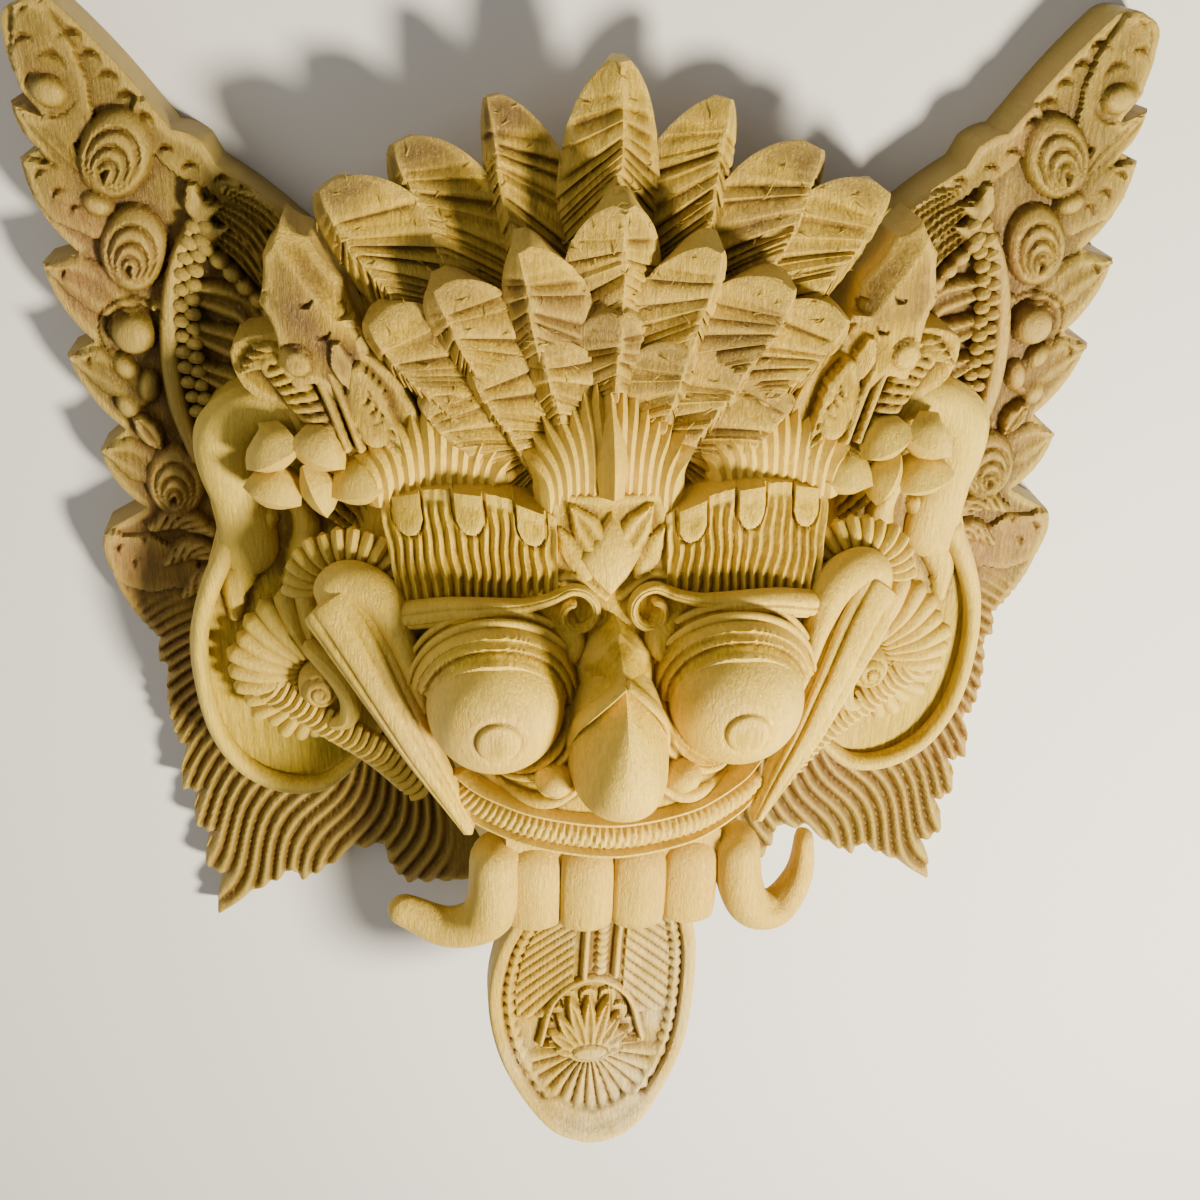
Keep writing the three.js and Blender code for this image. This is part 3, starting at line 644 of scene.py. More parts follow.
# Colour of dust and of painted shade in the deep cuts; each deep colour below does the same.
DUST_AND_SHADE = (0.12, 0.058, 0.006, 1)
face_wood = wood("face_wood", golden=(0.50, 0.31, 0.003, 1), straw=(0.66, 0.44, 0.022, 1),
                 fresh=(0.58, 0.35, 0.09, 1), deep=(0.19, 0.095, 0.005, 1),
                 torn=0.5, reach=0.5, roughness=0.34, bump=0.0018)
crown_wood = wood("crown_wood", golden=(0.38, 0.235, 0.006, 1), straw=(0.56, 0.365, 0.03, 1),
                  fresh=(0.15, 0.075, 0.025, 1), deep=DUST_AND_SHADE,
                  torn=0.9, reach=0.9, roughness=0.38, bump=0.0022)
# The wings lie behind the face, away from the light: their much darker colours are partly their own wood and
# partly painted shade.
wing_wood = wood("wing_wood", golden=(0.14, 0.09, 0.003, 1), straw=(0.185, 0.115, 0.009, 1),
                 fresh=(0.235, 0.12, 0.03, 1), deep=(0.07, 0.03, 0.002, 1),
                 torn=0.5, reach=1.2, roughness=0.40, bump=0.0016)
ear_wood = wood("ear_wood", golden=(0.44, 0.31, 0.006, 1), straw=(0.52, 0.36, 0.022, 1),
                fresh=(0.48, 0.29, 0.07, 1), deep=DUST_AND_SHADE,
                torn=0.5, reach=1.2, roughness=0.42, bump=0.0016)
tooth_wood = wood("tooth_wood", golden=(0.46, 0.245, 0.0, 1), straw=(0.50, 0.32, 0.006, 1),
                  fresh=(0.60, 0.42, 0.09, 1), deep=DUST_AND_SHADE,
                  torn=0.6, reach=0.7, roughness=0.40, bump=0.0018)
tongue_wood = wood("tongue_wood", golden=(0.37, 0.22, 0.005, 1), straw=(0.42, 0.27, 0.016, 1),
                   fresh=(0.56, 0.44, 0.20, 1), deep=(0.12, 0.055, 0.005, 1),
                   torn=0.5, reach=0.8, roughness=0.48, bump=0.0016)

# %% [markdown]
# Much of the ornament is one small form cut again and again along a line: teeth, fingers of a fan, peas
# on a rope. Geometry Nodes lay copies of one carved form along a path or over a surface, each turned with
# it, with a size that changes along the way and a little unevenness, as a hand would cut them.

# %% Trees that lay out copies
def geometry_tree(name, inputs):
    """An empty Geometry Nodes tree with named inputs."""
    tree = bpy.data.node_groups.new(name, "GeometryNodeTree")
    tree.interface.new_socket("Geometry", in_out="INPUT", socket_type="NodeSocketGeometry")
    for title, kind in inputs:
        tree.interface.new_socket(title, in_out="INPUT", socket_type="NodeSocket" + kind)
    tree.interface.new_socket("Geometry", in_out="OUTPUT", socket_type="NodeSocketGeometry")
    return tree, tree.nodes.new("NodeGroupInput").outputs, tree.nodes.new("NodeGroupOutput")


def instances(tree, given, made, points, heading, size):
    """Copies on points with uneven sizes, as plain mesh in the wood."""
    low, high = (math_node(tree, kind, 1.0, given["Uneven"]) for kind in ("SUBTRACT", "ADD"))
    luck = put(tree, "FunctionNodeRandomValue", {2: low, 3: high, "Seed": given["Seed"]}, data_type="FLOAT")
    copy = put(tree, "GeometryNodeObjectInfo", {"Object": given["Copy"]})
    laid = put(tree, "GeometryNodeInstanceOnPoints", {
        "Points": points, "Instance": copy.outputs["Geometry"], "Rotation": heading,
        "Scale": math_node(tree, "MULTIPLY", size, luck.outputs[1])})
    real = put(tree, "GeometryNodeRealizeInstances", {0: laid.outputs[0]})
    painted = put(tree, "GeometryNodeSetMaterial", {"Geometry": real.outputs[0], "Material": given["Wood"]})
    tree.links.new(painted.outputs[0], made.inputs[0])


def path_tree():
    """Copies along a path: Y of a copy follows the path and Z stays out of the face."""
    tree, given, made = geometry_tree("copies_along_path", [
        ("Copy", "Object"), ("Count", "Int"), ("Lean", "Float"), ("First size", "Float"),
        ("Last size", "Float"),
        ("Uneven", "Float"), ("Seed", "Int"), ("Wood", "Material")])
    curve = put(tree, "GeometryNodeMeshToCurve", {"Mesh": given["Geometry"]})
    marks = put(tree, "GeometryNodeCurveToPoints", {"Curve": curve.outputs[0], "Count": given["Count"]},
                mode="COUNT")
    ahead = put(tree, "FunctionNodeAlignRotationToVector", {"Vector": marks.outputs["Tangent"]}, axis="Y",
                pivot_axis="Z")
    lean = put(tree, "ShaderNodeCombineXYZ", {"Z": given["Lean"]})
    swing = put(tree, "FunctionNodeEulerToRotation", {0: lean.outputs[0]})
    heading = put(tree, "FunctionNodeRotateRotation", {0: ahead.outputs[0], 1: swing.outputs[0]},
                  rotation_space="LOCAL")
    last = math_node(tree, "SUBTRACT", given["Count"], 1.0)
    size = put(tree, "ShaderNodeMapRange",
               {0: put(tree, "GeometryNodeInputIndex").outputs[0], 1: 0.0, 2: last,
                                            3: given["First size"], 4: given["Last size"]})
    instances(tree, given, made, marks.outputs[0], heading.outputs[0], size.outputs[0])
    return tree


FULL_TURN = 6.28
LEAST_FACING = 0.25


def surface_tree():
    """Copies scattered over the front of a surface, standing on it and turned at random."""
    tree, given, made = geometry_tree("copies_on_surface", [
        ("Copy", "Object"), ("Density", "Float"), ("Size", "Float"), ("Uneven", "Float"), ("Seed", "Int"),
        ("Wood", "Material")])
    normal = put(tree, "GeometryNodeInputNormal")
    out = put(tree, "ShaderNodeSeparateXYZ", {0: normal.outputs[0]})
    front = put(tree, "FunctionNodeCompare", {0: out.outputs[2], 1: LEAST_FACING}, data_type="FLOAT",
                operation="GREATER_THAN")
    spots = put(tree, "GeometryNodeDistributePointsOnFaces",
                {"Mesh": given["Geometry"], "Selection": front.outputs[0], "Density": given["Density"],
                 "Seed": given["Seed"]}, distribute_method="RANDOM")
    turn = put(tree, "FunctionNodeRandomValue", {2: 0.0, 3: FULL_TURN, "Seed": 8}, data_type="FLOAT")
    swing = put(tree, "FunctionNodeEulerToRotation",
                {0: put(tree, "ShaderNodeCombineXYZ", {"Z": turn.outputs[1]}).outputs[0]})
    heading = put(tree, "FunctionNodeRotateRotation", {0: spots.outputs["Rotation"], 1: swing.outputs[0]},
                  rotation_space="LOCAL")
    instances(tree, given, made, spots.outputs[0], heading.outputs[0], given["Size"])
    return tree


PATH_TREE, SURFACE_TREE = path_tree(), surface_tree()


# %% [markdown]
# A tree's copies live only in a modifier, and a finished mask needs real faces. So the tree is evaluated
# once, its result is read back as plain points and triangles, and the modifier is taken away again.

# %% From a tree to a plain shell
def plain_mesh(name, points, edges, faces):
    """A mesh object in the scene, from plain lists."""
    mesh = bpy.data.meshes.new(name)
    mesh.from_pydata([tuple(p) for p in points], edges, [tuple(f) for f in faces])
    thing = bpy.data.objects.new(name, mesh)
    bpy.context.scene.collection.objects.link(thing)
    return thing


def laid_out(tree, ground, copy, values):
    """The plain shell that a tree makes on a path or a surface from copies of one shell."""
    holder = plain_mesh("holder", *ground)
    single = plain_mesh("single", copy[0], [], copy[1])
    modifier = holder.modifiers.new("layout", "NODES")
    modifier.node_group = tree
    values = {"Copy": single, "Seed": 5, "Wood": face_wood, **values}
    for item in tree.interface.items_tree:
        if item.in_out == "INPUT" and item.name in values:
            modifier[item.identifier] = values[item.name]
    graph = bpy.context.evaluated_depsgraph_get()
    mesh = bpy.data.meshes.new_from_object(holder.evaluated_get(graph))
    holder.modifiers.remove(modifier)
    mesh.calc_loop_triangles()
    points, faces = np.empty(len(mesh.vertices) * 3), np.empty(len(mesh.loop_triangles) * 3, np.int32)
    mesh.vertices.foreach_get("co", points)
    mesh.loop_triangles.foreach_get("vertices", faces)
    for thing in (holder, single):
        bpy.data.meshes.remove(thing.data)
    bpy.data.meshes.remove(mesh)
    return points.reshape(-1, 3), faces.reshape(-1, 3)


def along(line, copy, count, lean=0.0, sizes=(1.0, 1.0), uneven=0.06):
    """Copies of a shell along a line of points."""
    edges = [(i, i + 1) for i in range(len(line) - 1)]
    values = {"Count": count, "Lean": math.radians(lean), "First size": float(sizes[0]),
              "Last size": float(sizes[1]), "Uneven": uneven}
    return laid_out(PATH_TREE, (line, edges, []), copy, values)


# %% [markdown]
# The head is a rounded block, hollowed behind so that it can be worn. Most of it is covered by the
# carving, but its flanks and its hollow back show from the side and from behind, so it is made whole.

# %% The head block
HOLLOW = {"centre": 22.0, "half_width": 78.0, "half_height": 85.0, "depth": 84.0}


def hollow_back(x, y):
    """Height of the worn side: a smooth bowl, and flat around it."""
    share = 1 - (x / HOLLOW["half_width"]) ** 2 - ((y - HOLLOW["centre"]) / HOLLOW["half_height"]) ** 2
    return HOLLOW["depth"] * np.sqrt(np.clip(share, 0, 1))


def head_front(x, y):
    """The rounded front, with a few broad knife facets."""
    facets = 0.5 * np.sin(x / 7.0 + 0.6 * np.sin(y / 11.0)) * np.sin(y / 8.0)
    return np.maximum(block_height(x, y) + facets, 3)


head_outline = np.vstack([HEAD[:, [2, 0]] * (0.985, 1), HEAD[::-1][:, [2, 0]] * (-0.985, 1)])
head = Region("head_block")
head.add(board(smooth(head_outline, 3, closed=True), head_front, hollow_back, grid=2.0, bevel=2.0,
               sparse=1.0), tone=0.6)
finished(head, face_wood)

# %% [markdown]
# Each wing is a thick board behind the ear, sawn to a jagged edge and carved with scrolls, petals, a
# smooth bar and, lower down, a spread of long feathers. The two are cut from one drawing, turned over for
# the other side.

# %% Wing outline and its ground
# Rows of x, y and how far the edge to the next point swells outwards.
WING = [
    [194, 254, 2], [206, 254, 3], [213, 243, 3], [203, 215, 0], [214, 220, 2], [207, 203, 0],
    [214, 200, 4], [198, 165, 0], [212, 161, 3], [197, 130, 0], [208, 125, 3], [190, 93, 0],
    [201, 84, 3], [186, 58, 0], [204, 48, 1], [204, 32, 3], [188, -5, 0], [190, -14, 1], [186, -19, 2],
    [187, -56, 1], [182, -63, 2], [187, -86, 0], [179, -88, 3], [182, -109, 0], [175, -112, 3],
    [180, -133, 0], [172, -137, 2], [178, -161, 0], [156, -146, 1], [141, -136, 0], [137, -143, 2],
    [112, -124, 1], [96, -123, 3], [86, -147, 1], [53, -146, 0], [40, -110, 0], [42, -64, 0],
    [64, -38, 0], [76, -12, 0], [82, 12, 0], [83, 44, 0], [74, 74, 0], [58, 102, 0], [60, 130, 0],
    [116, 177, 1], [143, 198, 0], [147, 206, 1], [158, 211, 0], [165, 220, 1]]
WING_LOW, WING_HIGH = (-160.0, 15.0), (255.0, 25.0)
FEATHER_ROOT = (60.0, 110.0)
FEATHER_STEP, FEATHER_DEPTH = 0.0285, 3.4


def wing_front(y):
    """Height of the wing board's front, which rises evenly towards its tip."""
    return WING_LOW[1] + (WING_HIGH[1] - WING_LOW[1]) * (y - WING_LOW[0]) / (WING_HIGH[0] - WING_LOW[0])


def feathers(r):
    """Long wavy feathers that spread from the ear to the jagged lower edge."""
    dx, dy = r.x - FEATHER_ROOT[0], r.y - FEATHER_ROOT[1]
    reach, turn = np.hypot(dx, dy), np.arctan2(dy, dx)
    turn = turn + 0.022 * np.sin(reach / 15 + turn * 9) - 0.0006 * (reach - 150)
    where = np.clip((20 - r.y) / 30, 0, 1) * np.clip((r.x - 60) / 12, 0, 1)
    r.flutes(where, turn / FEATHER_STEP, FEATHER_DEPTH, sharp=1.3)


# Punched moons on the lobes: place, size and turn.
EDGE_MOONS = [
    ((205, 238), 4.5, 70), ((198, 232), 5, 110), ((203, 249), 3, 60), ((205, 193), 3.6, 50),
    ((200, 186), 3.6, 50), ((195, 180), 3.4, 50), ((202, 156), 3, 30), ((197, 122), 3, 30),
    ((196, 40), 3.4, 20), ((190, 33), 3.4, 20), ((185, 44), 3, 20)]
MOON_DEPTH = 2.0


def edge_lobes(r):
    """Lobes along the jagged edge, each stepped up with grooves or punched moons."""
    r.petal((196, 216), (202, 250), 24, 3.0, ribs=1, shape=(0.9, 1, 0.9, 0.5), depth=0.0)
    r.petal((193, 196), (212, 219), 13, 3.0, ribs=3)
    r.petal((190, 176), (211, 199), 20, 3.4, ribs=1, depth=0.0)
    r.petal((184, 142), (210, 160), 19, 3.0, ribs=2, bow=0.1)
    r.petal((182, 108), (206, 124), 18, 3.0, ribs=2, bow=0.1)
    r.petal((178, 72), (199, 85), 18, 3.0, ribs=2, bow=0.1)
    r.petal((176, 30), (201, 42), 26, 3.2, ribs=1, bow=-0.1, shape=(0.7, 1, 1, 0.5), depth=0.0)
    for place, size, turn in EDGE_MOONS:
        r.crescent(place, size, turn, MOON_DEPTH)


# %% Scrolls and curls of the wing
def wing_scrolls(r):
    """Smooth hooded scrolls down the middle of the wing, with bosses between them."""
    r.dome((199, 224), 6, 7, 7.5, 20, power=3)
    r.groove(arc((199, 224), 8.5, -160, 60), 2.4, 1.6)
    r.hood((179, 202), 13.5, -60, 8.5)
    r.dome((188, 184), 5, 6.5, 7, 30)
    r.hood((177, 167), 13.0, -75, 8.0)
    r.ridge(smooth([(160, 170), (163, 150), (172, 144)], 6), 6, 5, shape=(0.5, 1, 0.6))
    r.dome((181, 134), 8.6, 8.6, 9.5, power=2.4)
    for radius in (10.5, 14.0):
        r.groove(arc((181, 134), radius, -60, 170), 2.0, 1.6)
    r.dome((186, 120), 4.5, 6, 5.5, 60)
    r.dome((178, 112), 4.5, 7, 6, 100)
    r.dome((187, 104), 4.5, 6, 5, 70)
    r.petal((183, 98), (176, 86), 10, 6.0, ribs=2, depth=0.3)
    r.hood((172, 71), 12.5, -85, 7.5)


CURLS = [((160, 48), (184, 50)), ((158, 36), (180, 34)), ((155, 24), (174, 18))]
CURL_RISE = 5.0


def wing_curls(r):
    """Three twisted curls at the lower end of the scrolls."""
    for base, tip in CURLS:
        top = (base[0] + tip[0]) / 2, (base[1] + tip[1]) / 2 + CURL_RISE
        line = smooth([base, top, tip], 6)
        r.comb(line, 11, 5.5, 5.0, lean=1.2, cut=0.45, shape=(0.5, 1, 0.9, 0.3))


# %% Inside of the wing
def wing_inside(r):
    """The smooth bar, the rope of beads beside it, scales, and long leaves under the crown."""
    for base, tip, width, bow in (((155, 150), (131, 126), 15, -0.22), ((155, 134), (135, 110), 14, -0.22),
                                  ((155, 118), (139, 98), 12, -0.2), ((150, 104), (130, 84), 12, -0.15)):
        r.petal(base, tip, width, 6.2, ribs=2, bow=bow, shape=(0.7, 1, 0.8, 0.15), depth=0.4)
    for base, tip, width in (((147, 184), (124, 158), 10), ((141, 189), (117, 168), 9),
                             ((150, 176), (128, 150), 10)):
        r.petal(base, tip, width, 5.0, ribs=3, bow=-0.1, shape=(0.4, 1, 0.9, 0.3), depth=0.45)
    for step in range(6):
        r.dome((150 - 4.4 * step, 168 - 5.2 * step), 3.5, 4.4, 8.2, 40, power=3)
    for place in ((153, 190), (151, 182)):
        r.petal(place, (place[0] - 10, place[1] - 7), 8, 6.0, ribs=1, bow=0.5, depth=0.0)
    r.ridge(smooth([(154, 176), (161, 163), (166, 144), (168, 124), (167, 104), (162, 82)], 8), 8.5, 7.5,
            shape=(0.6, 0.9, 1, 1, 0.8), crown=3)
    r.groove(smooth([(159, 170), (163, 150), (164, 124), (162, 100)], 6), 1.6, 1.0)


def wing_steps(r):
    """Blocks and chevrons along the straight inner edge."""
    for base, tip in (((150, 196), (166, 216)), ((128, 180), (149, 203))):
        r.petal(base, tip, 17, 2.6, ribs=1, depth=0.0, shape=(0.8, 1, 1, 0.7))
    for step in range(5):
        r.crescent((190 - 5.4 * step, 240 - 7.0 * step), 4.2, 100, 2.4)
    for place in ((161, 201), (153, 195), (141, 190), (134, 186), (128, 181)):
        r.crescent(place, 3.6, 80, 2.4)


def wing_top(x, y):
    """The whole carved front of a wing."""
    r = Relief(x, y, wing_front(y))
    feathers(r)
    edge_lobes(r)
    wing_steps(r)
    wing_inside(r)
    wing_scrolls(r)
    wing_curls(r)
    return r.h


# %% [markdown]
# Two ropes of small peas run beside the smooth bar. Each pea is one short rod, and the path tree strings
# it along the rope. The wing and its ropes are then turned over for the other side.

# %% Cut both wings
wings = Region("wing_boards")
wings.add_both(board(swelling(WING), wing_top, grid=1.15, bevel=1.2), tone=0.62)
pea = rod(np.array([(-2.8, 0.6, 0), (0, 0, 1.2), (2.8, -0.6, 0)]), (2.2, 2.7, 2.2), (3, 3.6, 3), sides=8,
          per=3)
for offset, count in ((0.0, 15), (4.6, 14)):
    rope = smooth([(149 + offset, 176, 26), (155 + offset, 158, 26), (157.5 + offset, 138, 25.5),
                   (157.5 + offset, 116, 25), (154 + offset, 96, 24)], 8)
    wings.add_both(along(rope, pea, count, lean=25, uneven=0.14), tone=0.5)
finished(wings, wing_wood)

# %% [markdown]
# The crown is three rows of keeled leaves that fan out from the forehead. Each leaf has two facets that
# meet in an off-centre keel, and saw-like cuts that slope down from it. The cuts could be a bump texture,
# but they are deep enough to show in the outline. So a leaf is a grid whose rows lean with the cuts, which
# keeps every cut one clean line.

# %% One crown leaf
CROWN_CENTRE_Y = 60.0
LEAF_COLUMNS = 31


def crown_leaf(base, tip, width, ridge, keel, back, pitch=4.0, lean=1.1, depth=3.3, blunt=5.0, steps=4):
    """A keeled leaf whose rows follow the sloping saw cuts, and the share of its length at every point."""
    base, tip = np.asarray(base, float), np.asarray(tip, float)
    length = np.linalg.norm(tip - base)
    along = (tip - base) / length
    front = np.array([0, -0.3, 1.0])
    front -= along * front.dot(along)
    front /= np.linalg.norm(front)
    aside = np.cross(along, front)
    rows = np.linspace(0, 1, int(length / pitch * steps))[:, None]
    even = np.linspace(-1, 1, LEAF_COLUMNS)[None, :]
    v = np.sin(np.linspace(-math.pi / 2, math.pi / 2, LEAF_COLUMNS))[None, :] * 0.5 + even * 0.5

    def taper(t):
        return (0.9 + 0.1 * np.minimum(t / 0.6, 1)) * (1 - (0.985 * t) ** blunt) ** 0.6

    wander = ridge + 0.05 * np.sin(rows * length / 7 + width)
    away = np.abs(v - wander) * width / 2 * taper(rows)
    narrow = (v > wander) == (ridge > 0)
    slope = np.where(narrow & (abs(ridge) > 0.2), lean + 0.5, lean) * away + 0.012 * away ** 2
    straight = np.clip((1 - rows) / 0.3, 0, 1) * np.clip(rows / 0.6, 0, 1)
    t = np.clip(rows - slope / length * straight, 0, 1)
    half = width / 2 * taper(t)
    share = np.where(v < wander, (v + 1) / (wander + 1), (1 - v) / (1 - wander))
    roof = -3 * taper(t) + (keel + 2) * taper(t) * share ** 0.85
    phase = rows * length / pitch + 0.35 * np.sin(rows * 23 + width)
    tooth = phase % 1
    cut = np.where(tooth < 0.3, tooth / 0.3, (1 - tooth) / 0.7) ** 0.9
    uneven = 0.72 + 0.4 * np.sin(np.floor(phase) * 2.3 + width + 2.0 * (v > wander))
    strength = np.clip((0.93 - rows) / 0.06, 0, 1) * np.clip(away / 1.5, 0.45, 1) * uneven
    middle = base + (tip - base) * t[..., None]
    shift = ridge * (width / 2 - half) * 0.9
    rise = roof - depth * strength * (1 - cut)
    sheet = middle + aside * (half * v + shift)[..., None] + front * rise[..., None]
    below = np.linspace(0.6, -0.6, 5)[None, :]
    spine = slice(LEAF_COLUMNS // 2, LEAF_COLUMNS // 2 + 1)
    deep = middle[:, :1] + aside * (half[:, spine] * below + shift[:, spine])[..., None]
    deep = deep - front * (back * (1 - 0.6 * rows) + 0 * below)[..., None]
    deep[..., 2] = np.maximum(deep[..., 2], 1.0)
    shell = tube(np.concatenate([sheet, deep], axis=1))
    return shell, (shell[0] - base).dot(along) / length


# %% [markdown]
# Three rows stand behind one another, each lower and shorter than the last. A row is a few angles with
# the reach and height of each tip. Small random turns and widths keep the fan from looking stamped, and
# torn splinters are strewn over the leaves by the surface tree.

# %% Three rows of leaves
CROWN_ROWS = [
    {"angles": (0, 12.5, 24.5, 35), "reach": (180, 171, 168, 170), "tip_z": (56, 44, 44, 52), "length": 100,
     "width": 41},
    {"angles": (0, 13.5, 28, 42), "reach": (135, 125, 123, 127), "tip_z": (80, 82, 76, 66), "length": 74,
     "width": 37},
    {"angles": (0, 14, 31, 46), "reach": (96, 88, 90, 93), "tip_z": (76, 76, 72, 66), "length": 52,
     "width": 31}]
LEAF_BLUNTNESS = (4.0, 3.4, 6.0, 7.0)
crown = Region("crown_leaves")
for number, row in enumerate(CROWN_ROWS):
    for place, (angle, reach, tip_z) in enumerate(zip(row["angles"], row["reach"], row["tip_z"])):
        for side in (-1, 1) if place else (0,):
            turn = math.radians(angle + chance.uniform(-1.2, 1.2) * (place > 0))
            out = np.array([side * math.sin(turn), math.cos(turn)])
            x, y = out * (reach - row["length"]) + (0, CROWN_CENTRE_Y)
            base = (x, y, block_height(x, y) - 2)
            tip = (*(out * reach + (0, CROWN_CENTRE_Y)), tip_z)
            leaf, share = crown_leaf(base, tip, row["width"] * chance.uniform(0.92, 1.06),
                                     ridge=side * chance.uniform(0.36, 0.6) if side else 0.15,
                                     keel=chance.uniform(11, 13.5), back=tip_z * 0.4,
                                     pitch=3.9 - 0.2 * number,
                                     blunt=LEAF_BLUNTNESS[place] + number)
            stain = np.clip((share - 0.84) / 0.08, 0, 1) * (0.85 if number == 0 else 0.25)
            crown.add(leaf,
                      tone=np.clip(0.42 + 0.1 * math.sin(place * 3 + side * 2 + number), 0, 1) + 0.5 * stain)
splinter = tube(np.array([
    [(-0.5, -2, 0), (0.5, -2, 0), (0, -2, 0.3)],
    [(-0.35, 0.2, 0.5), (0.35, 0.2, 0.5), (0, 0.2, 0.9)],
    [(-0.1, 2.2, 1.3), (0.1, 2.2, 1.3), (0, 2.2, 1.5)]]))
leaves = np.concatenate(crown.points), [], np.concatenate(crown.faces)
crown.add(laid_out(SURFACE_TREE, leaves, splinter, {"Density": 0.010, "Size": 0.75, "Uneven": 0.45}),
          tone=0.3)
finished(crown, crown_wood)

# %% [markdown]
# At each temple a flat pinkish leaf stands on edge, punched with moons and carrying a small boss. Under
# it lie a row of curled teeth, two long smooth ridges and a little lobe, all cut into the wood between
# crown and ear.

# %% Temple leaves and their teeth
# Rows of x, y and swelling, as for the wing.
SIDE_LEAF = [(119, 184, 1), (109, 178, 1), (98, 162, 1), (90, 142, 1), (87, 124, 1), (93, 114, 1),
             (102, 118, 1), (110, 126, 1), (117, 122, 1), (124, 131, 1), (123, 142, 1), (129, 154, 1),
             (126, 172, 1)]


def side_leaf_top(x, y):
    """A flat face with punched moons, a boss and drops, and a sloping cut along its inner edge."""
    r = Relief(x, y, 63 - 0.05 * (y - 150) - 0.02 * (x - 108) ** 2)
    from_edge = (x - 118) * 0.83 - (y - 184) * 0.56
    r.h -= np.clip(6 - from_edge, 0, 12) * 0.9 * (y > 150)
    for centre, turn in (((112, 158), 250), ((106, 146), 250), ((100, 152), 150), ((96, 143), 150),
                         ((92, 134), 150)):
        r.crescent(centre, 3.0, turn, 3.2)
    r.dome((116, 134), 5, 5.6, 3.4, 20, power=3)
    r.groove(arc((116, 134), 6.6, -20, 150), 1.8, 1.6)
    r.petal((101, 140), (97, 124), 8, 3.2, ribs=1, depth=0.0)
    for place in ((124, 148), (125, 156)):
        r.crescent(place, 2.6, 20, 2.4)
    return r.h


def temple_top(x, y):
    """Teeth, ridges and a lobe under the leaf."""
    r = Relief(x, y, 65 - 0.24 * (y - 101) - 0.12 * (x - 99))
    r.comb(smooth([(126, 131), (117, 122), (107, 108)], 8), 13, 6.0, 4.4, lean=0.5, cut=0.75,
           shape=(0.7, 1, 0.8))
    for shift in (0.0, 5.2):
        r.ridge(smooth([(114 - shift, 138), (106 - shift, 122), (99 - shift, 102)], 8), 5.0, 7.0,
                shape=(0.7, 1, 0.8))
    for step in range(4):
        r.ridge(smooth([(138 - 2 * step, 128 + 3 * step), (130 - 2 * step, 131 + 2 * step),
                        (122, 129 + 2 * step)], 6), 3.6,
                4.5, shape=(0.5, 1, 0.6))
    r.petal((88, 108), (94, 130), 16, 6.5, ribs=1, depth=0.0, shape=(0.7, 1, 0.9, 0.4))
    for step in range(3):
        r.crescent((93 - 2.2 * step, 122 - 3.5 * step), 3.2, 200, 2.4)
    for step in range(5):
        r.petal((76 + 2 * step, 96 + 5 * step), (84 + 2 * step, 104 + 6 * step), 7, 6.0, ribs=2, depth=0.4)
    return r.h


temples = Region("temples")
temples.add_both(board(swelling(SIDE_LEAF, per=3), side_leaf_top, 24.0, grid=0.9, bevel=1.2), tone=0.92)
TEMPLE = [(70, 88), (74, 118), (92, 136), (118, 142), (140, 138), (137, 122), (121, 112), (114, 98),
          (96, 86)]
temples.add_both(board(smooth(TEMPLE, 4, closed=True), temple_top, 16.0, grid=0.9, bevel=1.0), tone=0.45)
finished(temples, crown_wood)

# %% [markdown]
# The fringe is built of flames: short keeled tongues that fan out over the brow. Each is one keeled
# section drawn along a bent path, so that a fan needs only a loop and a little chance in the widths.

# %% Flames of the fringe
KEELED = np.array([(-1, -1.2), (-0.95, -0.1), (-0.5, 0.45), (-0.15, 0.85), (0, 1), (0.15, 0.85), (0.5, 0.45),
                   (0.95, -0.1), (1, -1.2)])


def flame(path, width, height, per=7, section=KEELED, taper=(0.75, 1, 0.9, 0.12)):
    """A keeled tongue of wood along a path, pointed at its end."""
    line = smooth(path, per)
    step = np.gradient(line, axis=0)
    step /= np.linalg.norm(step, axis=1)[:, None]
    front = np.array([0, -0.2, 1.0]) - step * (step @ np.array([0, -0.2, 1.0]))[:, None]
    front /= np.linalg.norm(front, axis=1)[:, None]
    aside = np.cross(step, front)
    size = np.interp(np.linspace(0, 1, len(line)), np.linspace(0, 1, len(taper)), taper)[:, None, None]
    rings = (line[:, None] + aside[:, None] * section[None, :, :1] * width / 2 * size
             + front[:, None] * section[None, :, 1:] * height * (0.4 + 0.6 * size))
    return tube(rings)


PALMETTES = [
    {"x": 0, "base_y": 84, "base_z": 82, "top_y": 128, "top_z": 67, "half": 29, "count": 15, "width": 11.0},
    {"x": 66, "base_y": 86, "base_z": 72, "top_y": 118, "top_z": 58, "half": 27, "count": 12, "width": 11.5}]
fringe = Region("fringe_flames")
for fan in PALMETTES:
    for side in (-1, 1) if fan["x"] else (1,):
        for i in range(fan["count"]):
            u = 2 * i / (fan["count"] - 1) - 1
            top = fan["top_y"] - (fan["top_y"] - fan["base_y"]) * 0.55 * abs(u) ** 1.7
            x0, x1 = (side * fan["x"] + u * fan["half"] * share for share in (0.8, 1.12))
            lean = 2.5 * u
            path = [(x0, fan["base_y"] - 6, fan["base_z"]),
                    (x0 + u * 1.5, fan["base_y"] + (top - fan["base_y"]) * 0.5,
                     (fan["base_z"] + fan["top_z"]) / 2 + 5),
                    (x1 + lean, top, fan["top_z"] + 2 - 2 * abs(u))]
            fringe.add(flame(path, fan["width"] * chance.uniform(0.95, 1.1), chance.uniform(4.4, 5.4)),
                       tone=0.42)
        if fan["x"] == 0:
            fringe.add(flame([(0, 88, 88), (0, 104, 84), (0, 122, 73)], 13, 8.5), tone=0.5)
finished(fringe, face_wood)

# %% [markdown]
# Two hair panels hang under the fringe, ribbed like combed hair, with small drops along the top. A panel
# is one sheet between its lower and its upper edge, and the ribs are a wave across it.

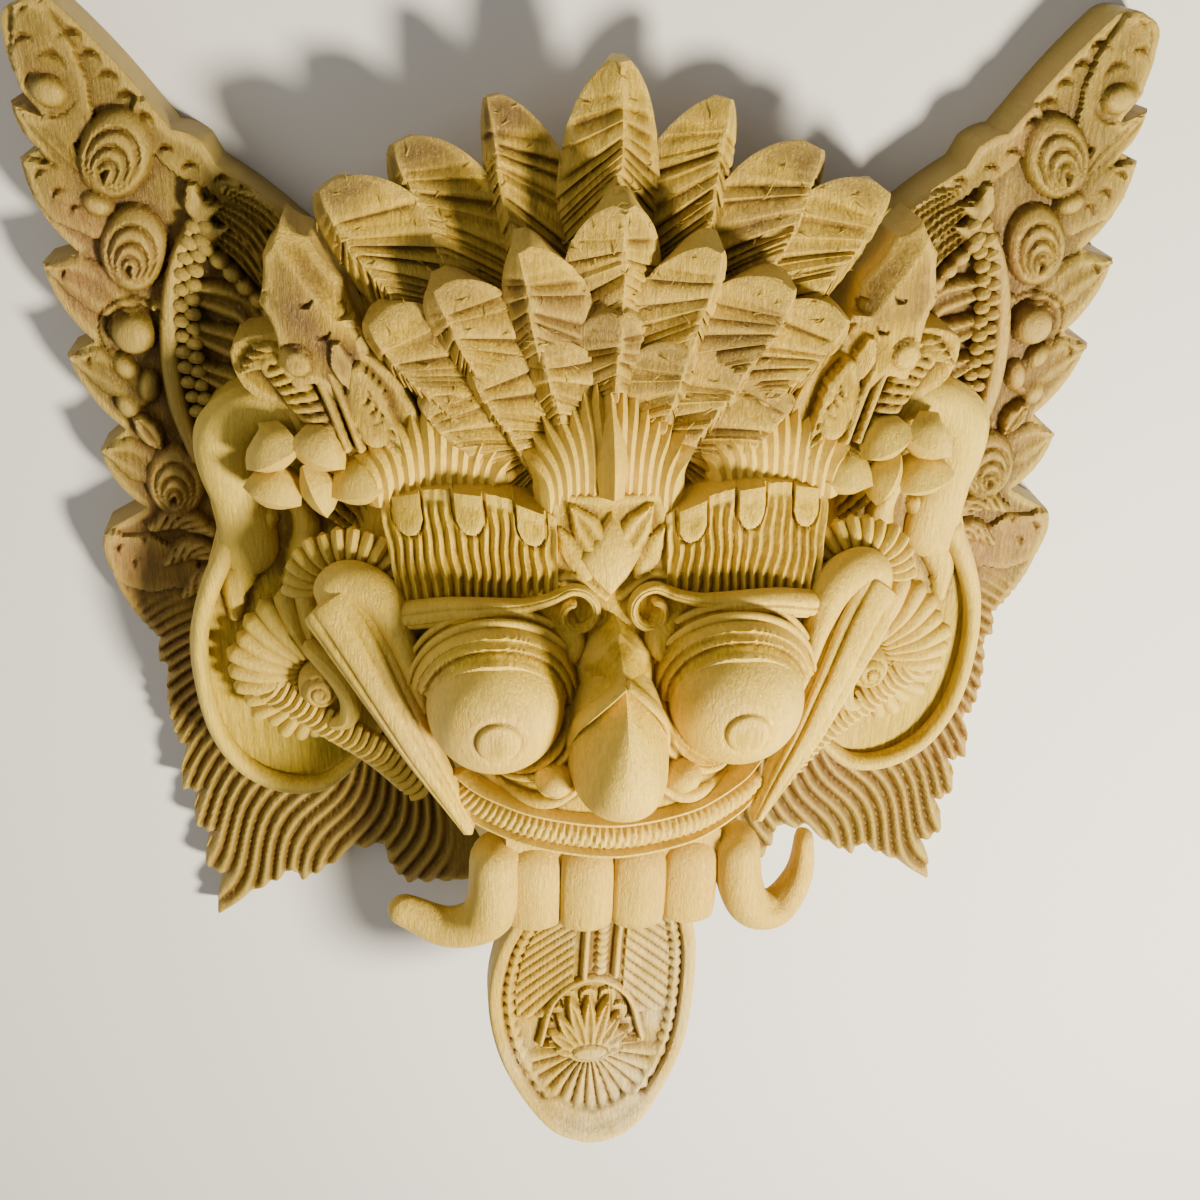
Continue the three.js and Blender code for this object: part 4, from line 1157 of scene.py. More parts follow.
# %% Hair panels
PANEL = {"inner": 21, "foot": 59, "head": 67, "low_y": 45.5, "low_z": 97, "high_y": 80, "high_z": 87,
         "thick": 24.0}
PANEL_RIBS = 16


def hair_panel(side):
    """A ribbed panel over one eye: u runs outwards and v from the brow to the fringe."""
    u, v = np.meshgrid(np.linspace(0, 1, 190), np.linspace(0, 1, 60), indexing="ij")
    low = np.stack([PANEL["inner"] + PANEL["foot"] * u, PANEL["low_y"] + 0 * u, PANEL["low_z"] - 3 * u ** 2],
                   -1)
    high = np.stack([PANEL["inner"] + PANEL["head"] * u, PANEL["high_y"] + 37 * u - 34 * u ** 2,
                     PANEL["high_z"] - 16 * u ** 2], -1)
    place = low + (high - low) * v[..., None]
    phase = u * PANEL_RIBS + 0.16 * np.sin(5 * v + 11 * u) + 0.08 * np.sin(17 * v + 4 * u)
    wave = np.abs(np.sin(math.pi * phase))
    rib = 2.6 * (1 - wave) ** 0.7
    bulge = 3.0 * np.sin(math.pi * np.clip(v, 0, 1)) ** 0.8
    foot = np.clip(v / 0.09, 0, 1)
    rounding = (2.2 + 2.0 * wave) * (1 - np.sqrt(1 - (1 - foot) ** 2))
    rise = bulge + rib * np.clip((0.93 - v) / 0.05, 0.25, 1) - rounding
    drop = np.zeros_like(u)
    for centre in (0.15, 0.5, 0.85):
        du, dv = (u - centre) * 62, (v - 0.84) * 34
        shield = np.where(dv > 0, np.abs(du) / 5.0, np.hypot(du / 5.0, dv / 5.4))
        drop = np.maximum(drop, np.where(shield < 1, 1 - 0.35 * shield ** 4, 0))
        rise = np.where((shield >= 1) & (shield < 1.22), rise - 1.4, rise)
    rise = np.where(drop > 0, bulge + 1.2 + 1.8 * drop, rise)
    facing = np.array([0, -0.15, 1.0]) / math.hypot(0.15, 1)
    sheet = place + facing * rise[..., None]
    shell = closed_grid(sheet, place - (0, 0, PANEL["thick"]))
    points = shell[0] * (side, 1, 1)
    return outward(points, shell[1])


panels = Region("hair_panels")
for side in (-1, 1):
    panels.add(hair_panel(side), tone=0.42)
finished(panels, face_wood)

# %% [markdown]
# The face sits on a muzzle that stands out from the block. Its skin is one carved board: cheeks, bags
# under the eyes and creases beside the nose. The eyes, lids, nose and lip are full round forms set into
# it.

# %% Skin of the face
EYE = {"x": 46.0, "y": 18.0, "z": 120.0, "radius": 26.0, "pupil": 8.2}


def face_ground(x, y):
    """The muzzle where it stands out from the head block."""
    inner = np.clip((MUZZLE[-1, 0] - y) / 4, 0, 1) * np.clip((y - MUZZLE[0, 0] + 4) / 4, 0, 1)
    return np.maximum(block_height(x, y), block_height(x, y, MUZZLE) * inner)


LID_RIDGES = (26.4, 28.5, 30.9)


def lid_folds(r, side):
    """Smooth folds over the eye that meet in thin crisp ridges, and thinner ones under it."""
    dx, dy = side * (r.x - side * EYE["x"]), r.y - EYE["y"]
    reach, turn = np.hypot(dx, dy), np.degrees(np.arctan2(dy, dx))
    over = np.clip((turn + 12) / 26, 0, 1) * np.clip((196 - turn) / 26, 0, 1) * (dy > -12)
    slope = 133.0 - 1.4 * (np.clip(reach, 25, 38) - 25) - 5.5 * np.abs(np.cos(np.radians(turn))) ** 1.5
    hollow = np.zeros_like(reach)
    for low, high in zip((24.4,) + LID_RIDGES, LID_RIDGES + (33.5,)):
        share = np.clip((reach - low) / (high - low), 0, 1)
        hollow += np.where((reach > low) & (reach <= high), 2.2 * np.sin(math.pi * share) ** 0.9, 0)
    surface = slope - hollow
    fade = np.clip((33.3 - reach) / 1.5, 0, 1) * over
    r.h = np.where(fade > 0, r.h + (np.maximum(surface, r.h) - r.h) * fade, r.h)
    under = np.clip((-turn - 8) / 20, 0, 1) * np.clip((turn + 172) / 20, 0, 1)
    for ridge, rise in ((27.6, 5.0), (31.5, 3.4)):
        crest = np.clip(1 - np.abs(reach - ridge) / 2.3, 0, 1) ** 0.7
        r.h = np.maximum(r.h, r.ground + rise * crest * under)


def face_top(x, y):
    """Cheeks with folds, bags and creases."""
    r = Relief(x, y, face_ground(x, y))
    for side in (-1, 1):
        r.ridge(smooth([(side * 17, -14), (side * 26, -20), (side * 42, -21), (side * 60, -14)], 8), 7, 5.0,
                shape=(0.5, 1, 0.9, 0.4))
        r.ridge(smooth([(side * 30, -8), (side * 44, -13), (side * 62, -4)], 8), 4.5, 4.0,
                shape=(0.4, 1, 0.4))
        r.groove(smooth([(side * 26, -16), (side * 42, -17), (side * 60, -9)], 8), 2.4, 1.6)
        r.groove(smooth([(side * 19, 30), (side * 17, 16), (side * 20, 2), (side * 27, -6)], 8), 3.0, 2.0)
        under_brow = [(side * 82, 36), (side * 68, 46), (side * 46, 50), (side * 28, 47), (side * 19, 38)]
        r.ridge(smooth(under_brow, 8), 22, 10,
                shape=(0.6, 1, 1, 1, 0.7), crown=2.4)
        lid_folds(r, side)
        r.groove(arc((side * EYE["x"], EYE["y"]), 26.6, -178, 178, 50), 1.8, 1.6, shape=(1, 1))
    return r.h


face = Region("face_skin")
face_outline = [(-80, 52), (-84, 20), (-76, -10), (-62, -34), (-44, -45), (44, -45), (62, -34),
                (76, -10), (84, 20), (80, 52)]
face.add(board(smooth(face_outline, 6, closed=True), face_top, 84.0, grid=0.72, bevel=2.0), tone=0.45)


# %% [markdown]
# The eyes bulge far out and have a raised disc for a pupil. A ball could be a primitive, but the step of
# the pupil needs rings just where it lies, so the rings are given one by one. Two thin folds run round the
# steep side of the lid.

# %% Eyes and lids
def eyeball(side):
    """A ball with a raised pupil disc."""
    polar = np.concatenate([np.linspace(0.02, 0.30, 9), np.linspace(0.31, 0.36, 5),
                            np.linspace(0.4, 2.0, 34)])
    turn = np.linspace(0, 2 * math.pi, 72, endpoint=False)
    pupil = math.asin(EYE["pupil"] / EYE["radius"])
    step = np.clip((pupil - polar) / 0.035, 0, 1)
    groove = np.exp(-((polar - pupil - 0.03) / 0.03) ** 2)
    radius = EYE["radius"] + 1.1 * step - 0.5 * groove
    ring = radius * np.sin(polar)
    rings = np.stack([ring[:, None] * np.cos(turn), ring[:, None] * np.sin(turn),
                      (radius * np.cos(polar))[:, None] + 0 * turn], -1)
    tilt = math.radians(3.0)
    y, z = rings[..., 1].copy(), rings[..., 2].copy()
    rings[..., 1] = y * math.cos(tilt) - z * math.sin(tilt)
    rings[..., 2] = z * math.cos(tilt) + y * math.sin(tilt)
    rings += (side * EYE["x"], EYE["y"], EYE["z"])
    return tube(rings)


def lid_line(side, radius, z, sweep):
    """A thin raised fold that runs round the steep side of the upper lid."""
    turn = np.radians(np.linspace(*sweep, 14))
    lowered = z - 5.0 * np.abs(np.cos(turn)) ** 1.5
    path = np.column_stack([side * (EYE["x"] + radius * np.cos(turn)), EYE["y"] + radius * np.sin(turn),
                            lowered])
    return rod(path, (0.7, 1.5, 1.6, 1.5, 0.7), (0.9, 1.7, 1.8, 1.7, 0.9), sides=12, per=4)


for side in (-1, 1):
    face.add(eyeball(side), tone=0.5)
    face.add(lid_line(side, 33.0, 116.5, (8, 172)), tone=0.48)
    face.add(lid_line(side, 34.2, 109.5, (16, 166)), tone=0.48)

# %% [markdown]
# The brow is a roll that starts over the outer corner and ends between the eyes in an open scroll. Straps
# and a broad cheek band frame the eye on the outside. All are rods: a section that swells and shrinks
# along a path.

# %% Brows, straps and cheek bands
BAND_GROOVES = (0.55, 1.0, 1.95, 2.35)


def grooved_section(places, depth=0.11, wide=0.10):
    """A rod section with crisp grooves that run along it."""
    def section(run, turn):
        cuts = sum(np.exp(-((turn - place) / wide) ** 2) for place in places)
        return 1 - depth * cuts + 0 * run
    return section


SCROLL = {"centre": (14.6, 48.0), "reach": 9.4, "tighter": 0.5, "start": 48, "step": 34, "points": 13,
          "z": 104.0}
BROW_ROLL = [(94, 37, 84), (84, 42.5, 92), (74, 46.5, 99), (64, 49.5, 103), (54, 51, 105.5), (44, 51.6, 106),
             (34, 52.5, 106), (26, 54, 105)]
BROW_ACROSS = (2.2, 3.8, 4.8, 5.2, 5.4, 5.4, 5.2, 5.0, 4.6, 4.0, 3.2, 2.5, 2.1, 2.0, 2.0, 2.0, 1.9, 1.9, 1.8,
               1.7, 1.5)
BROW_OUT = (4, 5.5, 6, 6.5, 6.5, 6.5, 6.2, 6, 5.5, 5, 4.4, 3.8) + (3.5,) * 9
STRAP = [(108, 42, 84), (102, 53, 86), (89, 51, 92), (81, 37, 99), (76, 22, 105), (72, 8, 108)]
BAND = [(108, 50, 88), (98, 36, 95), (86, 16, 105), (75, -4, 113), (65, -22, 118), (56, -39, 123)]


def scroll_coil():
    """The open scroll that ends a brow between the eyes."""
    steps = np.arange(SCROLL["points"])
    turn = np.radians(SCROLL["start"]) + steps * np.radians(SCROLL["step"])
    reach = SCROLL["reach"] - steps * SCROLL["tighter"]
    x, y = SCROLL["centre"]
    return [(x + r * math.cos(a), y + r * math.sin(a), SCROLL["z"] - 0.2 * r * math.sin(a))
            for a, r in zip(turn, reach)]


for side in (-1, 1):
    flip = np.array([side, 1, 1])
    brow = np.array(BROW_ROLL + scroll_coil()) * flip
    face.add(rod(brow, BROW_ACROSS, BROW_OUT, sides=34, cuts=grooved_section((1.25, 2.2), 0.13, 0.13)),
             tone=0.45)
    face.add(rod(np.array(STRAP) * flip, (9, 10, 8, 5.5, 3.6, 2), (9, 9, 9, 8, 7, 5), sides=26,
                 cuts=grooved_section((0.35,), 0.08)), tone=0.4)
    face.add(rod(np.array(BAND) * flip, (14, 13, 10.5, 8, 5.5, 2.2), (9, 11, 11.5, 10.5, 8, 5), sides=56,
                 cuts=grooved_section(BAND_GROOVES), blunt=(0.25, 1)), tone=0.45)


# %% [markdown]
# Behind the gem a small plate slopes back to the fringe. It is a board with a few leaf cuts, which fills
# the gap between the two scrolls.

# %% The plate between the brows
def brow_plate_top(x, y):
    """A sloped plate behind the gem, with a hollow over the bridge and soft tool marks."""
    r = Relief(x, y, 104 - 0.36 * (y - 40) - 0.006 * x ** 2)
    for side in (-1, 1):
        r.petal((side * 2, 66), (side * 15, 84), 12, 3.0, ribs=2, depth=0.35, shape=(0.5, 1, 0.9, 0.2))
        r.petal((side * 10, 60), (side * 20, 76), 9, 2.4, ribs=1, depth=0.4, shape=(0.5, 1, 0.9, 0.2))
        r.ridge(smooth([(side * 25, 57), (side * 14, 59), (side * 3, 52)], 6), 2.6, 1.8)
    return r.h


plate_outline = [(-24, 40), (24, 40), (25, 62), (22, 88), (-22, 88), (-25, 62)]
face.add(board(np.array(plate_outline, float), brow_plate_top, 70.0, grid=0.8, bevel=1.0), tone=0.45)


# %% [markdown]
# The nose is a pointed ball under a gabled bridge, with a thin arch and a small wing on each side. Rings
# along its length let a crisp keel fade into a round lower half, which a single ball could not do.

# %% Nose
NOSE = [[38, 2, 141], [31, 9.5, 149], [21, 15.4, 156.5], [9, 18.6, 161.5], [-2, 19.4, 162.5],
        [-9.5, 18.4, 159.5], [-14, 15.5, 153], [-16, 9, 146]]
NOSE_BASE = 116.0
NOSE_COLUMNS, BRIDGE_COLUMNS = 45, 41


def nose_ball():
    """The ball of the nose: a crisp keel above that fades into a round lower half."""
    fine = smooth(NOSE, 8)
    v = np.linspace(0, 1, NOSE_COLUMNS) - 0.5
    rings = []
    for k, (y, half, top) in enumerate(fine):
        keeled = np.clip(1.1 - 2.2 * k / len(fine), 0, 1)
        power = 1.5 + 0.9 * k / len(fine)
        x = half * np.sin(math.pi * v)
        share = np.abs(x / half)
        roof = 1 - share ** 1.15
        dome = np.clip(1 - share ** power, 0, 1) ** (1 / power)
        z = NOSE_BASE + 8 + (top - NOSE_BASE - 8) * (dome + (roof - dome) * 0.45 * keeled)
        z[[0, -1]] = NOSE_BASE
        rings.append(np.column_stack([x, np.full(NOSE_COLUMNS, y), z]))
    return tube(np.array(rings))


def nose_bridge():
    """The gabled bridge over the ball: two flat planes that meet in a crisp ridge."""
    rows = smooth([[45.5, 0.6, 117, 100], [43, 3.6, 124, 100], [40, 7.6, 134, 102], [36, 11.6, 141, 104],
                   [32, 14.8, 144, 107], [28, 15.8, 146, 110], [14, 16.5, 148, 112]], 6)
    v = np.linspace(-1, 1, BRIDGE_COLUMNS)
    across = BRIDGE_COLUMNS + 2
    front, back = [], []
    for y, half, top, foot in rows:
        z = top - (top - foot) * np.abs(half * v) / 16.5
        x, z = np.concatenate([[-half], half * v, [half]]), np.concatenate([[foot - 6], z, [foot - 6]])
        front.append(np.column_stack([x, np.full(across, y), z]))
        back.append(np.column_stack([x, np.full(across, y), np.full(across, foot - 14)]))
    return closed_grid(np.array(front), np.array(back))


def nose_arch(side):
    """A thin raised line that frames the upper half of the ball."""
    path = np.array([(0, 39.5, 143.5), (6, 34, 144), (12, 26, 140), (16.5, 16, 133), (18.5, 4, 127),
                     (18, -8, 124)])
    return rod(path * (side, 1, 1), (1.2, 1.5, 1.5, 1.5, 1.2), (4, 5, 5, 4, 3), sides=12)


def nostril(side):
    """A nostril wing: a small round volute with a hole at its lower outside."""
    polar = np.linspace(0.05, 2.4, 24)[:, None]
    turn = np.linspace(0, 2 * math.pi, 36, endpoint=False)[None, :]
    hole = np.exp(-((polar * np.cos(turn) - 0.35) ** 2 + (polar * np.sin(turn) + 0.55) ** 2) / 0.035)
    size = 1 - 0.22 * hole
    rings = np.stack([7.6 * size * np.sin(polar) * np.cos(turn), 6.2 * size * np.sin(polar) * np.sin(turn),
                      10 * size * np.cos(polar) + 0 * turn], -1)
    return tube(rings * (side, 1, 1) + (side * 24.5, -9, 131))


nose_sides = [(nose_arch(side), nostril(side)) for side in (-1, 1)]
for arch, _ in nose_sides:
    face.add(arch, tone=0.5)
face.add(nose_ball(), tone=0.5)
face.add(nose_bridge(), tone=0.45)
for _, wing in nose_sides:
    face.add(wing, tone=0.5)


# %% [markdown]
# The upper lip is a roll cut across into fine teeth, with a thin smooth line above and below. All three
# are rods along the same curve. The lip is a little longer on the left, as it was carved.

# %% Lip
LIP = np.array([(-62, -22, 115), (-50, -27.5, 121), (-28, -32.5, 127), (0, -35.0, 130), (28, -32.5, 127),
                (48, -26.5, 121), (58, -21, 115)], float)


def comb_cuts(run, turn):
    """Slanted cuts across the front of the lip."""
    tooth = np.abs(np.sin(math.pi * (run / 2.7 + 0.45 * np.cos(turn))))
    return 1 - 0.18 * (1 - tooth ** 0.6) * (np.sin(turn) > 0)


face.add(rod(LIP + (0, 7.2, -2), (1.2, 1.8, 2.0, 1.8, 1.2), (5, 9, 10, 9, 5), sides=14), tone=0.45)
face.add(rod(LIP, (3.6, 5.8, 6.0, 5.8, 3.6), (6, 8.5, 9.5, 8.5, 6), sides=24, per=28, cuts=comb_cuts),
         tone=0.4)
face.add(rod(LIP + (0, -7.0, -1.5), (1.4, 2.0, 2.2, 2.0, 1.4), (5, 9, 10, 9, 5), sides=14), tone=0.45)


# %% [markdown]
# A bevelled kite sits between the two scrolls, a little askew. Five rings of eight points give it its
# flat facets.

# %% Forehead gem
GEM_CENTRE = (-1, 66, 92)


def gem():
    """A bevelled kite between the two scrolls, leaning with the forehead."""
    ring = np.array([(-12.5, 0), (-6, 8), (1, 17), (7, 9), (13, 2), (7, -8), (0, -15), (-7, -8)], float)
    levels = ((1.06, -8), (1.0, 1.5), (0.86, 4.5), (0.55, 6.2), (0.1, 6.6))
    rings = [np.column_stack([ring[:, 0] * size + GEM_CENTRE[0], ring[:, 1] * size + GEM_CENTRE[1],
                              GEM_CENTRE[2] + z - ring[:, 1] * size * 0.30]) for size, z in levels]
    return tube(np.array(rings))


face.add(gem(), tone=0.5)
finished(face, face_wood, sharp=40)

# %% [markdown]
# Four square front teeth and two tusks stand in the open mouth, in a more golden wood. The left tusk hooks
# outwards and is blunt, the right one curls up, as the carver left them.

# %% Teeth and tusks
TOOTH = {"width": 21.0, "top": -49.0, "front": 134.0, "back": 96.0, "count": 4,
         "columns": 25}
# Height, how far the front draws back, and the share of the full width.
TOOTH_ROWS = ((4, 9, 0.45), (2.6, 5, 0.72), (0, 2.2, 0.9), (-4, 0.6, 0.97), (-12, 0, 1.0), (-22, 0.2, 1.0),
              (-30, 0.8, 0.99), (-34, 2.0, 0.97), (-36, 4.5, 0.93))
TUSKS = (
    (-1, [(47, -42, 121), (47, -66, 124), (52, -83, 121), (66, -90, 117), (81, -85, 113), (90, -80, 112)],
     (10, 11, 11, 9.5, 8, 6.5)),
    (1, [(50, -42, 121), (52, -66, 124), (59, -83, 121), (71, -87, 117), (80, -73, 114), (81, -52, 112)],
     (9, 9.5, 9, 7.5, 5.5, 3.4)))


def tooth(place):
    """One front tooth, rounded at its top and drawn in at its foot."""
    half, front = TOOTH["width"] / 2 + 0.3, TOOTH["front"] - abs(place) * 2
    x = np.linspace(-1, 1, TOOTH["columns"])
    rings = []
    for y, pull, narrow in TOOTH_ROWS:
        bulge = 4.4 * (1 - np.abs(x) ** 2.0) - 3.0 - 1.6 * np.clip(np.abs(x) - 0.9, 0, 1) * 10
        face_line = np.column_stack([half * narrow * x, np.full(len(x), y), front + bulge - pull])
        back = [(half * narrow, y, TOOTH["back"]), (-half * narrow, y, TOOTH["back"])]
        rings.append(np.vstack([face_line, back]) + (place * TOOTH["width"], TOOTH["top"], 0))
    return tube(np.array(rings))


mouth = Region("teeth_and_tusks")
gum = np.array([(-44, -40, 84), (44, -40, 84), (44, -62, 84), (-44, -62, 84)], float)
mouth.add(tube(np.array([gum, gum + (0, 0, 36), gum * (0.97, 1, 1) + (0, 0, 42)])), tone=0.3)
for i in range(TOOTH["count"]):
    mouth.add(tooth(i - (TOOTH["count"] - 1) / 2), tone=0.12)
for side, path, across in TUSKS:
    path = [(side * x, y, z) for x, y, z in path]
    mouth.add(rod(path, across, (14, 12, 11, 9, 7, 5), sides=28, per=10,
                  cuts=grooved_section((2.4,), 0.08, 0.2)), tone=0.45)
finished(mouth, tooth_wood, sharp=50)

# %% [markdown]
# The tongue hangs far out and curls forward at its end. A smooth rim runs round a sunken field with a row of
# scallops, two rails with a chain between them, and a small sun of flames over a fan of flutes.

# %% Outline and ground of the tongue
# Rows of y, height, half width and how far the middle strays.
TONGUE = np.array([
    [-72, 108, 31, 0], [-97, 107, 37.5, -1], [-120, 102, 43.5, -2.5], [-148, 99, 46, -4],
    [-172, 103, 43, -4], [-190, 109, 35.5, -4], [-203, 117, 25, -4], [-209.5, 121.5, 16, -4],
    [-213, 124, 4, -4]], float)
TONGUE_THICK = 14.0
TONGUE_FINE = smooth(TONGUE, 8)


def tongue_ground(y):
    """Height of the tongue's front along its length."""
    return np.interp(-y, -TONGUE_FINE[:, 0], TONGUE_FINE[:, 1])


tongue_right = np.column_stack([TONGUE_FINE[:, 3] + TONGUE_FINE[:, 2], TONGUE_FINE[:, 0]])
tongue_left = np.column_stack([TONGUE_FINE[:, 3] - TONGUE_FINE[:, 2], TONGUE_FINE[:, 0]])
tongue_outline = np.vstack([tongue_right, tongue_left[::-1]])


# %% Ornament of the tongue
SUN = (-5.0, -176.0)
RIM_WIDTH, TIP_RIM_WIDTH, RIM_EDGE = 6.5, 12.5, 1.2
SCALLOP_PITCH = 6.4


def fan_and_slants(r, ground, loop):
    """Flutes of the fan under the sun, and slanted cuts beside the rails."""
    sunken = loop > RIM_WIDTH
    across, up = r.x - SUN[0], r.y - SUN[1]
    reach, angle = np.hypot(across, up), np.arctan2(up, across)
    spokes = np.abs(np.sin(angle * 13))
    fan = sunken & (up < 8 - 0.3 * np.abs(across)) & (r.y > -201) & (reach < 40)
    r.h = np.where(fan, ground - 3.8 + 2.6 * spokes ** 0.7, r.h)
    middle = np.interp(-r.y, -TONGUE_FINE[:, 0], TONGUE_FINE[:, 3])
    slant = np.abs(np.sin(math.pi * (r.y * 0.72 + np.abs(r.x - middle) * 0.7) / 4.6))
    upper = sunken & (r.y > -160) & (np.abs(r.x + 1) > 11) & (loop > 12)
    r.h = np.where(upper, ground - 3.4 + 1.9 * slant ** 0.7, r.h)


def rails_and_arch(r, ground):
    """Two rails with a chain between them, and the arch over the sun."""
    for offset in (-7.0, 7.0):
        r.ridge(np.array([(offset, -96.0), (offset - 0.5, -138.0)]), 3.2, 3.4)
    for step in range(9):
        r.dome((-0.3, -98 - 4.6 * step), 2.6, 3.0, 2.8, 35 * (-1) ** step, power=2.5)
    under_arch = (np.hypot((r.x + 4) / 23, (r.y + 172) / 33) < 1) & (r.y > -174)
    r.h = np.where(under_arch, ground - 5.2, r.h)
    r.ridge(smooth([(-27, -172), (-20, -150), (-4, -139), (12, -150), (19, -172)], 8), 3.0, 3.6)


def sun_of_flames(r):
    """Nine flames round a flat boss with a groove about it."""
    for i in range(9):
        a = math.radians(2 + 22 * i)
        tall = 15 + 7 * math.sin(a) + 2 * (i % 2)
        foot = SUN[0] + 7 * math.cos(a), SUN[1] + 3 * math.sin(a)
        tip = SUN[0] + tall * math.cos(a), SUN[1] + 1.15 * tall * math.sin(a)
        r.petal(foot, tip, 7.5, 4.0, ribs=2, shape=(0.9, 1, 0.8, 0.1), depth=0.35)
    r.dome((SUN[0], SUN[1] - 1), 5.5, 11.5, 4.4, 0, power=3)
    around = np.linspace(0, 6.3, 20)
    ring = np.column_stack([SUN[0] + 8 * np.cos(around), SUN[1] - 1 + 3.4 * np.sin(around)])
    r.groove(ring, 2.0, 1.2, shape=(1, 1))


def scallops(r, ground, loop):
    """A row of scallops just inside the rim, counted along the outline in batches of points."""
    edge = evenly(tongue_outline, 1.0)
    step = np.hypot(*(np.roll(edge, -1, axis=0) - edge).T)
    run = np.concatenate([[0], np.cumsum(step)[:-1]])
    index = np.flatnonzero((loop > 6) & (loop < 12.5))
    for start in range(0, len(index), 4000):
        part = index[start:start + 4000]
        nearest = np.argmin(np.hypot(r.x[part, None] - edge[None, :, 0], r.y[part, None] - edge[None, :, 1]),
                            axis=1)
        wave = np.abs(np.sin(math.pi * run[nearest] / SCALLOP_PITCH))
        crest = np.clip(1 - np.abs(loop[part] - 9) / (1.4 + 2.0 * wave), 0, 1) ** 0.5
        r.h[part] = np.maximum(r.h[part], ground[part] - 3.4 + 2.8 * crest)


def tongue_top(x, y):
    """The ornament of the tongue, inside its rim."""
    ground = tongue_ground(y)
    r = Relief(x, y, ground - 3.2)
    loop = beside(x, y, np.vstack([tongue_outline, tongue_outline[:1]]))[0]
    fan_and_slants(r, ground, loop)
    rails_and_arch(r, ground)
    sun_of_flames(r)
    scallops(r, ground, loop)
    rim = np.clip((RIM_WIDTH - loop) / RIM_EDGE, 0, 1)
    top = ground + 0.6 * np.sin(math.pi * np.clip(loop / RIM_WIDTH, 0, 1))
    broad = np.where(y < -196, np.clip((TIP_RIM_WIDTH - loop) / RIM_EDGE, 0, 1), rim)
    return np.where(broad > 0, r.h + (top - r.h) * broad, r.h)


tongue = Region("tongue")
slab = board(tongue_outline, tongue_top, lambda x, y: tongue_ground(y) - TONGUE_THICK, grid=0.7, bevel=1.6)
tongue.add(slab, tone=np.interp(-slab[0][:, 1], (72, 170, 195, 213), (0.35, 0.55, 0.9, 1.0)))
finished(tongue, tongue_wood)

# %% [markdown]
# The ears are dished plates with a thick rolled rim that narrows at a waist. A fan of rounded fingers spreads
# round a spiral earring in the lobe, and a trail of comb teeth runs from it to the cheek.

# %% Ear plate and rim
EAR = [(112, 108), (136, 118), (154, 108), (157, 92), (152, 70), (159, 44), (170, 10), (169, -28),
       (158, -58), (134, -73), (112, -62), (92, -42), (72, 0), (88, 60)]
EAR_LOW, EAR_HIGH = -73.0, 118.0


def ear_level(y, low, high):
    """A level of the ear that rises evenly along it."""
    return low + (high - low) * (y - EAR_LOW) / (EAR_HIGH - EAR_LOW)


EARRING = (116.0, -6.0)


def ear_top(x, y):
    """The dish of the ear, with the comb trail, an inner bulge and fine grain."""
    r = Relief(x, y, ear_level(y, 38, 52))
    r.ridge(smooth([(133, 66), (140, 50), (148, 36), (150, 20)], 6), 14, 6, shape=(0.6, 1, 0.9, 0.4))
    r.petal((112, 84), (92, 60), 20, 10, ribs=4, depth=0.5)
    r.ridge(smooth([(124, 78), (118, 64), (121, 50), (128, 36)], 6), 11, 7, shape=(0.5, 1, 1, 0.4))
    r.h += 0.12 * np.sin(x * 1.3 + 0.8 * np.sin(y / 13) + 0.3 * np.sin(x * 0.37))
    return r.h


ears = Region("ears")
ear_outline = smooth(EAR, 6, closed=True)
ears.add_both(board(ear_outline, ear_top, 5.0, grid=1.3, bevel=1.0), tone=0.3)
RIM = [(148, 58), (152.5, 48), (158.5, 35), (163.5, 20), (166, 2), (165.5, -20), (162, -38), (154, -54),
       (143, -63.5), (131, -67.5), (119, -66), (109, -58), (100, -48)]
rim = np.array([(x, y, ear_level(y, 42, 55)) for x, y in RIM])
ears.add_both(rod(rim, (4, 4.4, 4, 3.6, 3.4, 3.4, 3.4, 3.6, 3.8, 3.8, 3.6, 3, 2),
                  (4, 5.5, 5.5, 5, 5, 5, 5, 5, 5, 5, 5, 5, 4),
                  sides=24, per=6), tone=0.3)
ROLLED = [(114, 103), (124, 111), (136, 111), (146, 102), (147, 88), (144.5, 74), (142, 62),
          (142.5, 51), (147, 40)]
rolled = np.array([(x, y, ear_level(y, 41, 50)) for x, y in ROLLED])
ears.add_both(rod(rolled, (5, 8, 10.5, 12, 11.5, 10, 11.5, 12.5, 9), (7, 9, 10, 10.5, 10, 9.5, 9.5, 9, 6),
                  sides=34,
                  per=8, cuts=grooved_section((2.75,), 0.06, 0.14)), tone=0.25)


# %% [markdown]
# The earring is a boss with a spiral wound into it, ringed by a fan of rounded fingers. Fingers and comb
# teeth are one rod each, laid out by the path tree with sizes that change along the way.

# %% Fan, spiral earring and comb trail
def spiral_earring():
    """A boss with a spiral groove wound into it."""
    reach, turn = np.linspace(0, 1, 26)[:, None], np.linspace(0, 2 * math.pi, 60, endpoint=False)[None, :]
    wound = np.abs(np.sin(math.pi * (reach * 2.6 + turn / (2 * math.pi))))
    z = 12 * np.sqrt(np.clip(1 - reach ** 2.4, 0, 1)) - 1.6 * (1 - wound ** 0.5) * (reach > 0.12)
    rings = np.stack([9.5 * (reach + 0.01) * np.cos(turn), 9.5 * (reach + 0.01) * np.sin(turn), z], -1)
    foot = rings[-1:] * (1, 1, 0) - (0, 0, 14)
    return tube(np.concatenate([rings, foot]) + (*EARRING, 58.0))


